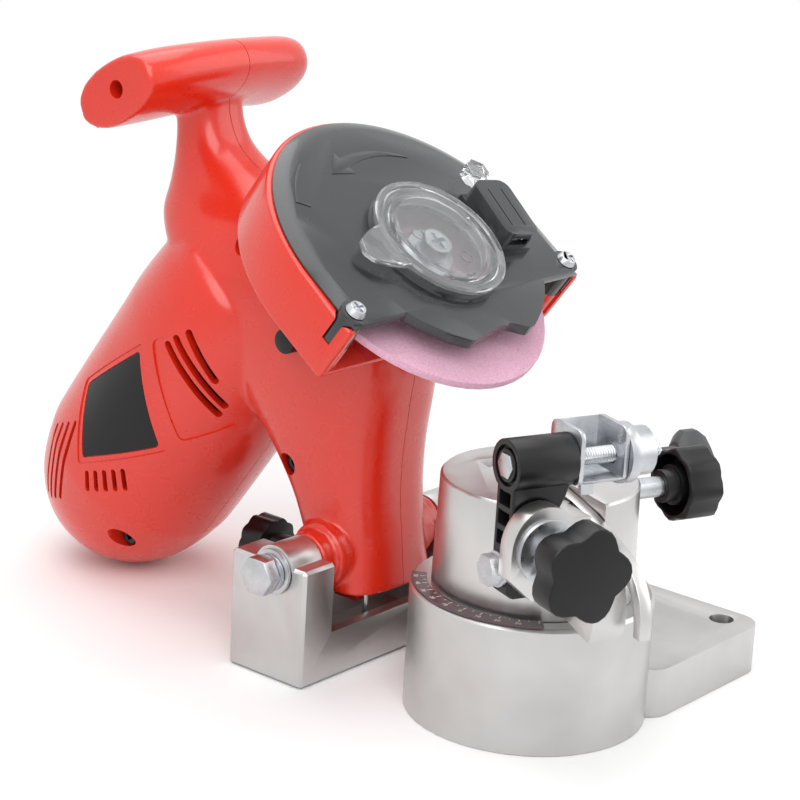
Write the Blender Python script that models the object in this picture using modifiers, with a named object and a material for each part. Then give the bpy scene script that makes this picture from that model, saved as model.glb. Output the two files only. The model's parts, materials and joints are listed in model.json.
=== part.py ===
"""Bench chainsaw sharpener: cast base with a turning chain vise and a hinged grinding head.

World frame: origin under the turntable axis on the bench, +X the operator's right, -Y the operator, +Z up.
Head pieces that follow the wheel use the spindle frame: X as the world's, Y up the slope of the wheel,
Z along the spindle out of the guard. Vise pieces use the turntable frame: X to the right of the chain,
-Y along the chain to the front, turned about Z by the angle set on the scale.
"""

import math

import bmesh
import bpy
from mathutils import Matrix, Vector

MM = 0.001
ROOT_NAME = "chainsaw_sharpener"

# General fits
GAP = 0.3 * MM
OVERRUN = 2.0 * MM
WALL = 3.2 * MM

# Turret foot, flange and bracket of the base casting
BASE_R = 43.5 * MM
BASE_H = 46.3 * MM
BASE_WALL = 6.0 * MM
BASE_EDGE = 1.2 * MM
POST_R = 14.0 * MM
POST_TOP = 80.5 * MM
POST_FOOT_R = 17.0 * MM
GROOVE_DEPTH = 2.6 * MM
GROOVE_HALF = 2.5 * MM
CORE_TOP = 40.0 * MM
RIB_W = 5.0 * MM
FLANGE_END = 95.0 * MM
FLANGE_HALF = 41.0 * MM
FLANGE_T = 18.4 * MM
FLANGE_CORNER = 9.0 * MM
FLANGE_ROOF = 7.0 * MM
HOLE_X = 85.0 * MM
HOLE_Y = 28.0 * MM
HOLE_R = 4.7 * MM
HOLE_BOSS_R = 9.0 * MM
WEB_LEFT = 16.0 * MM
EAR_OUT = 50.0 * MM
EAR_T = 15.7 * MM
EAR_FRONT = 63.0 * MM
EAR_DEPTH = 36.0 * MM
EAR_H = 45.0 * MM
EAR_EDGE = 1.2 * MM
TROUGH_LIP = 4.5 * MM
TROUGH_FLOOR = 6.0 * MM
REAR_WALL_H = 34.0 * MM
REAR_WALL_T = 5.5 * MM
SCALE_T = 0.8 * MM
SCALE_IN_R = 37.6 * MM
SCALE_FROM = math.radians(-138)
SCALE_SWEEP = math.radians(-98)
SCALE_OUT_R = 43.0 * MM

# Head pivot through the ears
PIVOT_Y = 78.0 * MM
PIVOT_Z = 42.0 * MM
PIVOT_BOLT_R = 4.0 * MM
EAR_BOSS_R = 9.5 * MM
BOLT_HEAD_R = 7.5 * MM
BOLT_HEAD_T = 5.5 * MM
WASHER_R = 8.5 * MM
WASHER_T = 1.5 * MM
SPRING_WASHER_R = 7.0 * MM
SPRING_WASHER_T = 2.0 * MM
NUT_T = 7.0 * MM
FOOT_BOSS_R = 10.0 * MM
FOOT_RING_R = 12.5 * MM
FOOT_RING_X = 27.0 * MM

# Return spring round the pivot bolt, inside the foot
SPRING_R = 7.2 * MM
SPRING_WIRE_R = 0.9 * MM
SPRING_TURNS = 5
SPRING_PITCH = 2.6 * MM
SPRING_ROOM_R = 9.0 * MM
SPRING_ROOM_HALF = 8.6 * MM

# Depth stop at the back of the bracket
STOP_Z = 27.0 * MM
STOP_SCREW_R = 4.0 * MM
STOP_TIP_GAP = 6.5 * MM
STOP_BOSS_R = 8.0 * MM
STOP_BOSS_OUT = 7.0 * MM
STOP_NUT_T = 5.0 * MM
STOP_KNOB_R = 11.0 * MM
STOP_KNOB_T = 10.0 * MM
STOP_KNOB_FACE = 122.0 * MM
HEEL_HALF = 8.0 * MM
HEEL_FRONT = 74.0 * MM
HEEL_BACK = 85.5 * MM
HEEL_BOTTOM = 20.0 * MM
HEEL_TOP = 34.0 * MM

# Wheel and spindle
WHEEL_Y = 61.5 * MM
WHEEL_Z = 148.0 * MM
WHEEL_TILT = math.radians(36)
WHEEL_R = 54.0 * MM
WHEEL_T = 3.2 * MM
WHEEL_BORE_R = 11.5 * MM
SPINDLE_R = 5.0 * MM
SPINDLE_BACK = -58.0 * MM
SPINDLE_FRONT = -5.3 * MM
FRONT_BEARING = -14.0 * MM
REAR_BEARING = -50.0 * MM
FLANGE_DISC_R = 15.0 * MM
FLANGE_DISC_T = 3.0 * MM
FLANGE_HUB_H = 7.0 * MM
FLANGE_HUB_R = 9.0 * MM
WHEEL_SCREW_R = 5.5 * MM
WHEEL_SCREW_H = 3.6 * MM
WHEEL_SCREW_SHANK_R = 2.5 * MM
WHEEL_SCREW_LENGTH = 18.0 * MM

# Guard, cover and cap
GUARD_R = 65.0 * MM
GUARD_WALL = 3.4 * MM
GUARD_BACK = -13.0 * MM
GUARD_FLOOR = -10.0 * MM
GUARD_RIM = 10.5 * MM
GUARD_SKIRT = -25.0 * MM
COVER_R = 60.4 * MM
COVER_T = 2.6 * MM
COVER_SKIRT = -24.0 * MM
COVER_TONGUE = 42.0 * MM
COVER_TONGUE_HALF = 35.0 * MM
PLATEAU_R = 54.0 * MM
PLATEAU_TOP_R = 49.0 * MM
PLATEAU_H = 3.0 * MM
PLATEAU_SKIRT = -20.0 * MM
CAP_HOLE_R = 20.5 * MM
CAP_R = 21.6 * MM
CAP_FLANGE_R = 26.0 * MM
CAP_FLANGE_T = 1.6 * MM
CAP_RISE = 3.4 * MM
CAP_WALL = 1.6 * MM
CAP_TAB_OUT = 38.0 * MM
CAP_TAB_HALF = 7.5 * MM
COVER_SCREW_X = 59.5 * MM
COVER_SCREW_Y = -19.0 * MM
COVER_POST_R = 5.2 * MM
COVER_SCREW_R = 3.8 * MM
COVER_SCREW_H = 2.2 * MM
COVER_SCREW_SHANK_R = 1.6 * MM
COVER_SCREW_LENGTH = 10.0 * MM
LATCH_X = 36.5 * MM
LATCH_Y = 3.0 * MM
LATCH_LENGTH = 27.0 * MM
LATCH_W = 17.0 * MM
LATCH_H = 7.5 * MM
LATCH_TURN = math.radians(-9.5)
LATCH_SLOT_W = 8.0 * MM
LATCH_SLOT_H = 2.6 * MM
LATCH_PIN_PAD_R = 5.2 * MM
LATCH_PIN_PAD_OUT = 6.5 * MM
LOCK_R = 4.6 * MM
LOCK_FACE = -40.5 * MM
LOCK_Y = 6.0 * MM
LOCK_DEPTH = -34.5 * MM
LOCK_LENGTH = 13.0 * MM

# Motor barrel, along the spindle direction and up the slope from it
MOTOR_Y = 47.0 * MM
BARREL_R = 41.0 * MM
BARREL_FRONT = -48.0 * MM
BARREL_SHOULDER = -165.0 * MM
BARREL_END = -205.5 * MM
BULKHEAD_FRONT = -60.0 * MM
BULKHEAD_BACK = -66.0 * MM
BARREL_ROOM_END = -178.0 * MM
STATOR_ROOM = 2.8 * MM
STATOR_R = BARREL_R - WALL - STATOR_ROOM
STATOR_BORE_R = 23.6 * MM
STATOR_FROM = -104.0 * MM
STATOR_TO = -148.0 * MM
ARMATURE_GAP = 0.8 * MM
ARMATURE_R = STATOR_BORE_R - ARMATURE_GAP
SHAFT_R = 4.0 * MM
SHAFT_FRONT = -35.4 * MM
SHAFT_BACK = -197.0 * MM
COMMUTATOR_R = 11.0 * MM
COMMUTATOR_FROM = -156.0 * MM
COMMUTATOR_TO = -170.0 * MM
FAN_ROOM = 6.8 * MM
FAN_R = BARREL_R - WALL - FAN_ROOM
FAN_FROM = -78.0 * MM
FAN_T = 3.0 * MM
FAN_BLADE_H = 9.0 * MM
FAN_BLADES = 7
FAN_BLADE_T = 1.6 * MM
BEARING_R = 11.0 * MM
BEARING_T = 7.0 * MM
BRUSH_W = 6.0 * MM
BRUSH_ROOM = 7.8 * MM
BRUSH_REACH = BARREL_R - WALL - BRUSH_ROOM
BRUSH_HOLDER_W = 9.0 * MM
MOTOR_PULLEY_R = 7.5 * MM
SPINDLE_PULLEY_R = 12.0 * MM
BELT_T = 1.8 * MM
BELT_FROM = -36.0 * MM
BELT_W = 8.0 * MM
BELT_ROOM = 2.2 * MM
VENT_W = 3.2 * MM
SHORT_VENT_W = 2.0 * MM
PLATE_RECESS = 1.0 * MM

# Housing column, neck and handle: level, half width, front and back. The neck follows the handle.
HANDLE_Y = 164.0 * MM
HANDLE_Z = 204.5 * MM
COLUMN_LEVELS = (
    (28.5 * MM, 24.0 * MM, 58.0 * MM, 88.0 * MM),
    (45.0 * MM, 22.5 * MM, 60.0 * MM, 96.0 * MM),
    (62.0 * MM, 23.5 * MM, 62.0 * MM, 104.0 * MM),
    (80.0 * MM, 25.5 * MM, 62.0 * MM, 117.0 * MM),
    (100.0 * MM, 29.0 * MM, 60.0 * MM, 135.0 * MM),
    (120.0 * MM, 31.5 * MM, 58.5 * MM, 151.0 * MM),
    (138.0 * MM, 31.5 * MM, 68.0 * MM, 168.0 * MM),
    (152.0 * MM, 26.0 * MM, 88.5 * MM, 176.5 * MM),
    (164.0 * MM, 18.0 * MM, HANDLE_Y - 44.0 * MM, HANDLE_Y + 12.5 * MM),
    (176.0 * MM, 13.5 * MM, HANDLE_Y - 19.0 * MM, HANDLE_Y + 11.5 * MM),
    (188.0 * MM, 12.0 * MM, HANDLE_Y - 10.0 * MM, HANDLE_Y + 12.0 * MM),
    (202.0 * MM, 14.0 * MM, HANDLE_Y - 8.0 * MM, HANDLE_Y + 16.0 * MM),
)
COLUMN_STEPS = 24
COLUMN_SQUARENESS = 2.9
HANDLE_END = 46.0 * MM
HANDLE_STATIONS = (
    (-1.0, 0.90), (-0.97, 0.97), (-0.7, 1.0), (-0.3, 0.97), (0.3, 0.95), (0.66, 0.96), (0.82, 0.90),
    (0.89, 0.76),
    (0.92, 0.55),
)
HANDLE_SWEEP = 6.0 * MM
HANDLE_DROOP = 3.5 * MM
HANDLE_MAJOR = 21.0 * MM
HANDLE_MINOR = 11.5 * MM
HANDLE_TILT = math.radians(-31)
HANDLE_STEPS = 20
HANDLE_SQUARENESS = 2.3
SCREW_HOLE_R = 4.4 * MM
SCREW_HOLE_DEPTH = 9.0 * MM
SCREW_HEAD_R = 3.6 * MM
SCREW_HEAD_H = 2.6 * MM
SCREW_SHANK_R = 1.7 * MM
SCREW_SHANK_L = 12.0 * MM
TRIGGER_LOW = 139.0 * MM
TRIGGER_HIGH = 161.0 * MM
TRIGGER_FACE = HANDLE_Y + 15.5 * MM
TRIGGER_HALF = 6.5 * MM
TRIGGER_OUT = 4.0 * MM
TRIGGER_DEEP = 9.0 * MM
TRIGGER_TRAVEL = 3.0 * MM

# Turntable and jaws
VISE_ANGLE = math.radians(-22)
DRUM_FOOT_R = 36.0 * MM
DRUM_TOP_R = 35.0 * MM
DRUM_TOP = 87.0 * MM
DRUM_ROOF = 6.2 * MM
DRUM_WALL = 5.0 * MM
DRUM_SLEEVE_R = 19.0 * MM
DRUM_SLEEVE_FROM = 60.0 * MM
DRUM_EDGE = 0.8 * MM
CHANNEL_BACK = 22.5 * MM
CHANNEL_FLOOR = 83.6 * MM
CHANNEL_LEFT = 13.0 * MM
JAW_LEFT = 14.0 * MM
JAW_FACE = 1.0 * MM
MOVING_JAW_T = 4.5 * MM
JAW_ROOM_FROM = 20.0 * MM
JAW_ROOM_FLOOR = 60.0 * MM
JAW_TIP_Z = 50.5 * MM
JAW_REACH = 68.0 * MM
JAW_HEIGHT = DRUM_TOP - JAW_TIP_Z
MOVING_JAW_SHARES = (
    (-0.315, 0.965), (0.147, 0.965), (0.294, 0.93), (0.43, 0.885), (0.559, 0.822), (0.68, 0.76),
    (0.779, 0.685),
    (0.86, 0.60), (0.92, 0.50), (0.965, 0.37), (0.99, 0.22), (0.997, 0.0), (0.934, 0.0), (0.93, 0.13),
    (0.915, 0.25), (0.885, 0.37), (0.838, 0.47), (0.77, 0.55), (0.66, 0.585), (0.60, 0.52), (0.55, 0.30),
    (0.315, 0.30), (0.315, 0.915), (-0.315, 0.915),
)
FIXED_JAW_SHARES = (
    (0.06, 0.94), (0.20, 0.925), (0.33, 0.89), (0.47, 0.83), (0.60, 0.76), (0.72, 0.67), (0.80, 0.58),
    (0.855, 0.46), (0.88, 0.30), (0.885, 0.10), (0.86, -0.06), (0.60, 0.05), (0.45, 0.12), (0.33, 0.16),
    (0.33, 0.86), (0.06, 0.86),
)
LOCK_STUD_Z = 77.3 * MM
LOCK_STUD_R = 3.8 * MM
LOCK_STUD_TIP = 12.2 * MM
LOCK_STUD_TIP_R = 2.2 * MM
LOCK_STUD_STEP = 16.5 * MM
LOCK_KNOB_FROM = 51.0 * MM
LOCK_KNOB_R = 13.8 * MM
LOCK_KNOB_T = 14.0 * MM
LOCK_HUB_R = 6.0 * MM
LOCK_HUB_H = 5.0 * MM
LOCK_RECESS_IN = 7.5 * MM
LOCK_RECESS_OUT = 11.4 * MM
LOCK_RECESS_DEPTH = 8.0 * MM
LOCK_LOBES = 8
LEVER_Y = 19.5 * MM
LEVER_Z = 80.0 * MM
CLAMP_CAM_R = 5.2 * MM
CLAMP_CAM_END = 11.0 * MM
LEVER_SHAFT_R = 2.0 * MM
LEVER_COLLAR_R = 3.6 * MM
LEVER_HUB_FROM = 58.0 * MM
LEVER_HUB_R = 4.4 * MM
LEVER_HUB_T = 15.5 * MM
LEVER_WING_T = 13.0 * MM
LEVER_WING_HALF = 14.5 * MM
LEVER_WING_THICK = 6.0 * MM
LEVER_WING_SHIFT = 4.5 * MM
WING_STEPS = 16
WING_SQUARENESS = 4.0
LEVER_TILT = math.radians(-46)

# Chain stop: block, arm, bracket and their bolts
ARM_Y = 38.5 * MM
ARM_THICK = 11.0 * MM
ARM_LEFT = 38.0 * MM
ARM_FOOT_W = 12.0 * MM
ARM_PIVOT_Z = 71.0 * MM
ARM_FOOT_LOW = 61.5 * MM
ARM_BOLT_R = 3.0 * MM
ARM_BOLT_HEAD_R = 5.6 * MM
ARM_BOLT_HEAD_T = 5.5 * MM
ARM_BOLT_FLANGE_R = 6.2 * MM
ARM_BOLT_FLANGE_T = 1.4 * MM
BOSS_Z = 106.8 * MM
BOSS_R = 9.0 * MM
BOSS_W = 22.5 * MM
ARM_POCKET = 4.5 * MM
ARM_RIB = 2.0 * MM
CROSS_BOLT_R = 3.0 * MM
CROSS_BOLT_END = 21.0 * MM
CROSS_HEAD_R = 4.6 * MM
CROSS_HEAD_T = 3.0 * MM
PAWL_W = 19.0 * MM
PAWL_SHEET = 1.6 * MM
PAWL_LOW = 99.0 * MM
PAWL_HIGH = 118.0 * MM
PAWL_FRONT = 8.0 * MM
PAWL_BACK = 11.0 * MM
TONGUE_W = 5.0 * MM
TONGUE_LOW = 90.0 * MM
NUT_R = 8.5 * MM
ROUND_NUT_T = 11.0 * MM
NUT_COLLAR_R = 10.5 * MM
NUT_COLLAR_T = 4.0 * MM
BLOCK_BACK = 45.0 * MM
BLOCK_T = 7.5 * MM
BLOCK_LOW = 66.0 * MM
STAR_X = 29.5 * MM
STAR_Z = 81.0 * MM
STAR_WASHER_R = 11.0 * MM
STAR_WASHER_T = 1.8 * MM
STAR_SCREW_R = 3.6 * MM
STAR_KNOB_FROM = 68.0 * MM
STAR_KNOB_T = 11.0 * MM
STAR_KNOB_R = 16.5 * MM
STAR_KNOB_WAIST = 13.2 * MM
STAR_LOBES = 5

ROUND_STEPS = 32
SMALL_STEPS = 16


def clear_scene():
    for obj in list(bpy.data.objects):
        bpy.data.objects.remove(obj, do_unlink=True)


def new_collection(name):
    collection = bpy.data.collections.new(name)
    bpy.context.scene.collection.children.link(collection)
    return collection


def paint(name, colour, roughness, metallic=0.0, alpha=1.0):
    material = bpy.data.materials.new(name)
    material.use_nodes = True
    shader = material.node_tree.nodes["Principled BSDF"]
    shader.inputs["Base Color"].default_value = (*colour, 1.0)
    shader.inputs["Roughness"].default_value = roughness
    shader.inputs["Metallic"].default_value = metallic
    shader.inputs["Alpha"].default_value = alpha
    return material


class Shop:
    """The collections, frames and materials that every piece shares."""

    def __init__(self):
        self.parts = new_collection(ROOT_NAME)
        self.cutters = new_collection("cutters")
        self.paints = {
            "cast": paint("cast_aluminium", (0.60, 0.60, 0.60), 0.42, 1.0),
            "steel": paint("zinc_plated_steel", (0.74, 0.75, 0.76), 0.28, 1.0),
            "red": paint("red_housing_plastic", (0.78, 0.035, 0.02), 0.30),
            "black": paint("black_plastic", (0.018, 0.018, 0.02), 0.42),
            "clear": paint("clear_plastic", (0.86, 0.88, 0.88), 0.06, 0.0, 0.35),
            "pink": paint("pink_abrasive", (0.70, 0.36, 0.44), 0.90),
            "scale": paint("scale_plate", (0.19, 0.15, 0.16), 0.50, 0.4),
            "copper": paint("copper", (0.75, 0.34, 0.18), 0.35, 1.0),
            "core": paint("core_steel", (0.32, 0.32, 0.34), 0.45, 1.0),
            "rubber": paint("belt_rubber", (0.02, 0.02, 0.02), 0.80),
            "grey": paint("grey_lever_plastic", (0.10, 0.10, 0.10), 0.50),
        }

    def frame(self, name, location, rotation=(0.0, 0.0, 0.0), parent=None):
        empty = bpy.data.objects.new(name, None)
        empty.location = location
        empty.rotation_euler = rotation
        empty.parent = parent
        self.parts.objects.link(empty)
        bpy.context.view_layer.update()
        return empty


def mesh_object(shop, name, build, frame=None, finish=None):
    """One object from a bmesh that build fills; without a finish it is a cutter."""
    mesh = bpy.data.meshes.new(name)
    shape = bmesh.new()
    build(shape)
    bmesh.ops.recalc_face_normals(shape, faces=shape.faces)
    shape.to_mesh(mesh)
    shape.free()
    return place(shop, name, mesh, frame, finish)


def place(shop, name, mesh, frame, finish):
    obj = bpy.data.objects.new(name, mesh)
    obj.parent = frame
    if finish is None:
        obj.hide_render = True
        obj.display_type = "WIRE"
        shop.cutters.objects.link(obj)
    else:
        mesh.materials.append(shop.paints[finish])
        shop.parts.objects.link(obj)
    return obj


def settle(obj):
    """Turns the object's modifiers into its mesh."""
    bpy.context.view_layer.update()
    evaluated = obj.evaluated_get(bpy.context.evaluated_depsgraph_get())
    mesh = bpy.data.meshes.new_from_object(evaluated)
    shape = bmesh.new()
    shape.from_mesh(mesh)
    bmesh.ops.remove_doubles(shape, verts=shape.verts, dist=OVERRUN / 400)
    shape.to_mesh(mesh)
    shape.free()
    obj.modifiers.clear()
    obj.data = mesh
    return obj


def combine(obj, other, operation):
    boolean = obj.modifiers.new(operation.lower(), "BOOLEAN")
    boolean.operation = operation
    boolean.solver = "EXACT"
    boolean.object = other
    other.hide_render = True
    other.display_type = "WIRE"
    return obj


def cut(obj, *tools):
    for tool in tools:
        combine(obj, tool, "DIFFERENCE")
    return obj


def join(obj, *others):
    for other in others:
        combine(obj, other, "UNION")
    return obj


def bevel(obj, width, segments=1, angle=math.radians(40)):
    edge = obj.modifiers.new("edges", "BEVEL")
    edge.width = width
    edge.segments = segments
    edge.limit_method = "ANGLE"
    edge.angle_limit = angle
    return obj


def box(shop, name, low, high, frame=None, finish=None):
    """A box between two corners."""
    low, high = Vector(low), Vector(high)
    size = high - low
    middle = Matrix.Translation((low + high) / 2) @ Matrix.Diagonal((*size, 1.0))
    return mesh_object(
        shop, name, lambda shape: bmesh.ops.create_cube(shape, size=1.0, matrix=middle), frame, finish
    )


AXIS_TURN = {
    "X": Matrix.Rotation(math.pi / 2, 4, "Y"),
    "Y": Matrix.Rotation(-math.pi / 2, 4, "X"),
    "Z": Matrix.Identity(4),
}


def rod(shop, name, radius, start, end, centre, axis="Z", frame=None, finish=None, steps=SMALL_STEPS,
        tip=None):
    """A cylinder, or a cone to the tip radius, from start to end along an axis through a full point."""
    turn = AXIS_TURN[axis]
    along = turn @ Vector((0, 0, 1))
    middle = Vector(centre)
    middle = middle - along * middle.dot(along) + along * (start + end) / 2
    matrix = Matrix.Translation(middle) @ turn
    tip = radius if tip is None else tip

    def build(shape):
        bmesh.ops.create_cone(
            shape, cap_ends=True, segments=steps, radius1=radius, radius2=tip, depth=end - start,
            matrix=matrix
        )

    return mesh_object(shop, name, build, frame, finish)


def turned(shop, name, profile, frame=None, finish=None, steps=ROUND_STEPS, closed=False, centre=(0, 0, 0),
           axis="Z"):
    """A Screw of a profile of (radius, height), outer side from top down; closed rings return inside."""
    mesh = bpy.data.meshes.new(name)
    points = [(radius, 0.0, height) for radius, height in profile]
    edges = [(i, i + 1) for i in range(len(points) - 1)]
    if closed:
        edges.append((len(points) - 1, 0))
    mesh.from_pydata(points, edges, [])
    obj = place(shop, name, mesh, None, finish)
    screw = obj.modifiers.new("turn", "SCREW")
    screw.steps = steps
    screw.render_steps = steps
    screw.use_merge_vertices = True
    screw.merge_threshold = 0.00001
    settle(obj)
    if finish is not None and not obj.data.materials:
        obj.data.materials.append(shop.paints[finish])
    obj.data.transform(Matrix.Translation(centre) @ AXIS_TURN[axis])
    obj.parent = frame
    return obj


def prism(shop, name, outline, start, end, axis="Z", frame=None, finish=None, centre=(0, 0, 0)):
    """A flat outline extruded from start to end along an axis."""
    curve = bpy.data.curves.new(name, "CURVE")
    curve.dimensions = "2D"
    curve.fill_mode = "BOTH"
    curve.extrude = (end - start) / 2
    line = curve.splines.new("POLY")
    line.points.add(len(outline) - 1)
    for point, place_at in zip(line.points, outline):
        point.co = (*place_at, 0.0, 1.0)
    line.use_cyclic_u = True
    guide = bpy.data.objects.new(name + "_outline", curve)
    shop.cutters.objects.link(guide)
    bpy.context.view_layer.update()
    mesh = bpy.data.meshes.new_from_object(guide.evaluated_get(bpy.context.evaluated_depsgraph_get()))
    bpy.data.objects.remove(guide)
    shape = bmesh.new()
    shape.from_mesh(mesh)
    bmesh.ops.remove_doubles(shape, verts=shape.verts, dist=OVERRUN / 400)
    bmesh.ops.recalc_face_normals(shape, faces=shape.faces)
    shape.to_mesh(mesh)
    shape.free()
    mesh.transform(Matrix.Translation((0, 0, (start + end) / 2)))
    mesh.transform(Matrix.Translation(centre) @ AXIS_TURN[axis])
    mesh.materials.clear()
    return place(shop, name, mesh, frame, finish)


def loft(shop, name, rings, frame=None, finish=None):
    """A skin through rings of equal point counts, closed at both ends."""

    def build(shape):
        rows = [[shape.verts.new(point) for point in ring] for ring in rings]
        count = len(rows[0])
        for lower, upper in zip(rows, rows[1:]):
            for i in range(count):
                j = (i + 1) % count
                shape.faces.new((lower[i], lower[j], upper[j], upper[i]))
        shape.faces.new(list(reversed(rows[0])))
        shape.faces.new(rows[-1])

    return mesh_object(shop, name, build, frame, finish)


def rounded(half_x, half_y, count, squareness=2.0):
    """Points of a superellipse about the origin."""
    points = []
    for i in range(count):
        angle = 2 * math.pi * i / count
        c, s = math.cos(angle), math.sin(angle)
        scale = (abs(c) ** squareness + abs(s) ** squareness) ** (-1 / squareness)
        points.append((half_x * c * scale, half_y * s * scale))
    return points


def dome_outline(radius, skirt, steps=ROUND_STEPS, half=None):
    """A half circle over straight sides that end at the level of skirt."""
    half = radius if half is None else half
    arc = [
        (radius * math.cos(math.pi * i / (steps // 2)), radius * math.sin(math.pi * i / (steps // 2)))
        for i in range(steps // 2 + 1)
    ]
    return arc + [(-half, skirt), (half, skirt)]


def lobed(radius, waist, lobes, points_each=8):
    """A knob's outline of round lobes with hollows between."""
    outline = []
    count = lobes * points_each
    for i in range(count):
        swing = 0.5 + 0.5 * math.cos(lobes * 2 * math.pi * i / count)
        reach = waist + (radius - waist) * swing ** 0.7
        angle = 2 * math.pi * i / count
        outline.append((reach * math.cos(angle), reach * math.sin(angle)))
    return outline


def corner_outline(left, right, low, high, radius, steps=4):
    """A rectangle with rounded corners."""
    outline = []
    for cx, cy, start in (
        (right - radius, high - radius, 0.0),
        (left + radius, high - radius, math.pi / 2),
        (left + radius, low + radius, math.pi),
        (right - radius, low + radius, 1.5 * math.pi),
    ):
        for i in range(steps + 1):
            angle = start + math.pi / 2 * i / steps
            outline.append((cx + radius * math.cos(angle), cy + radius * math.sin(angle)))
    return outline


def side_view(points):
    """Outline points of (forward, up) for a prism along X in the turntable frame."""
    return [(-up, -forward) for forward, up in points]


def front_view(points):
    """Outline points of (right, up) for a prism along Y."""
    return [(right, -up) for right, up in points]


def ring(shop, name, outer, inner, low, high, frame=None, finish=None, centre=(0, 0, 0), axis="Z",
         steps=ROUND_STEPS):
    profile = [(outer, high), (outer, low), (inner, low), (inner, high)]
    return turned(shop, name, profile, frame, finish, steps, True, centre, axis)


def hex_bolt(shop, name, head_r, head_from, head_to, shank_r, shank_to, centre, axis, frame, finish,
             flange=None):
    """A bolt with its head from head_from to head_to and its shank ending past the head, at shank_to."""
    bolt = rod(shop, name, head_r, head_from, head_to, centre, axis, frame, finish, 6)
    start, end = sorted((head_to if shank_to > head_to else head_from, shank_to))
    if shank_to > head_to:
        start -= head_r / 4
    else:
        end += head_r / 4
    join(bolt, rod(shop, name + "_shank", shank_r, start, end, centre, axis, frame))
    if flange:
        join(bolt, rod(shop, name + "_flange", flange[0], flange[1], flange[2], centre, axis, frame))
    return settle(bolt)


def nut(shop, name, radius, start, end, bore, centre, axis, frame, finish, steps=6):
    body = rod(shop, name, radius, start, end, centre, axis, frame, finish, steps)
    cut(body, rod(shop, name + "_bore", bore, start - OVERRUN, end + OVERRUN, centre, axis, frame))
    return settle(body)


# Base


def turret(shop):
    profile = [
        (0, POST_TOP),
        (POST_R, POST_TOP),
        (POST_R, LOCK_STUD_Z + GROOVE_HALF),
        (POST_R - GROOVE_DEPTH, LOCK_STUD_Z + GROOVE_HALF),
        (POST_R - GROOVE_DEPTH, LOCK_STUD_Z - GROOVE_HALF),
        (POST_R, LOCK_STUD_Z - GROOVE_HALF),
        (POST_R, BASE_H),
        (BASE_R - BASE_EDGE, BASE_H),
        (BASE_R, BASE_H - BASE_EDGE),
        (BASE_R, 0),
        (0, 0),
    ]
    return turned(shop, "base_casting", profile, None, "cast", 48)


def turret_core(shop):
    core = ring(shop, "turret_core", BASE_R - BASE_WALL, POST_FOOT_R, -OVERRUN, CORE_TOP)
    reach = BASE_R + OVERRUN
    cut(core, box(shop, "turret_rib_x", (-reach, -RIB_W / 2, -2 * OVERRUN),
                  (reach, RIB_W / 2, CORE_TOP + OVERRUN)))
    cut(core, box(shop, "turret_rib_y", (-RIB_W / 2, -reach, -2 * OVERRUN),
                  (RIB_W / 2, reach, CORE_TOP + OVERRUN)))
    return settle(core)


def bolt_flange(shop):
    outline = corner_outline(BASE_R / 2, FLANGE_END, -FLANGE_HALF, FLANGE_HALF, FLANGE_CORNER)
    flange = prism(shop, "bolt_flange", outline, 0, FLANGE_T)
    pocket = box(
        shop,
        "flange_pocket",
        (BASE_R + BASE_WALL, -FLANGE_HALF + BASE_WALL, -OVERRUN),
        (FLANGE_END - BASE_WALL, FLANGE_HALF - BASE_WALL, FLANGE_T - FLANGE_ROOF),
    )
    for side in (-1, 1):
        centre = (HOLE_X, side * HOLE_Y, 0)
        cut(pocket, rod(shop, "hole_boss", HOLE_BOSS_R, -2 * OVERRUN, FLANGE_T, centre))
    cut(pocket, box(shop, "flange_rib", (0, -RIB_W / 2, -2 * OVERRUN), (FLANGE_END, RIB_W / 2, FLANGE_T)))
    cut(flange, settle(pocket))
    for side in (-1, 1):
        centre = (HOLE_X, side * HOLE_Y, 0)
        cut(flange, rod(shop, "bolt_hole", HOLE_R, -OVERRUN, FLANGE_T + OVERRUN, centre))
    return settle(flange)


def bracket(shop):
    back = EAR_FRONT + EAR_DEPTH
    inside = EAR_OUT - EAR_T
    body = box(shop, "bracket", (-EAR_OUT, EAR_FRONT, 0), (EAR_OUT, back, EAR_H))
    settle(bevel(body, EAR_EDGE))
    trough_back = back - REAR_WALL_T
    cut(
        body,
        box(shop, "trough", (-inside, EAR_FRONT + TROUGH_LIP, TROUGH_FLOOR),
            (inside, trough_back, 2 * EAR_H)),
        box(shop, "front_opening", (-inside, EAR_FRONT - OVERRUN, FLANGE_T), (inside, PIVOT_Y, 2 * EAR_H)),
        box(shop, "back_opening", (-inside, PIVOT_Y, REAR_WALL_H), (inside, back + OVERRUN, 2 * EAR_H)),
    )
    settle(body)
    centre = (0, PIVOT_Y, PIVOT_Z)
    for side in (-1, 1):
        start, end = sorted((side * (inside + GAP / 3), side * (EAR_OUT - GAP / 3)))
        join(body, rod(shop, "ear_boss", EAR_BOSS_R, start, end, centre, "X", steps=28))
    stop_centre = (0, 0, STOP_Z)
    join(body, rod(shop, "stop_boss", STOP_BOSS_R, trough_back + GAP, back + STOP_BOSS_OUT, stop_centre,
                   "Y"))
    settle(body)
    cut(
        body,
        rod(shop, "pivot_bore", PIVOT_BOLT_R + GAP, -2 * EAR_OUT, 2 * EAR_OUT, centre, "X"),
        rod(shop, "stop_bore", STOP_SCREW_R + GAP, PIVOT_Y, back + 2 * STOP_BOSS_OUT, stop_centre, "Y"),
    )
    return settle(body)


def base_casting(shop):
    base = turret(shop)
    web = box(shop, "web", (WEB_LEFT, BASE_R - 2 * BASE_WALL, 0),
              (EAR_OUT - GAP, EAR_FRONT + GAP, FLANGE_T - GAP))
    join(base, bolt_flange(shop), web, bracket(shop))
    settle(base)
    cut(base, turret_core(shop))
    return settle(base)


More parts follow.
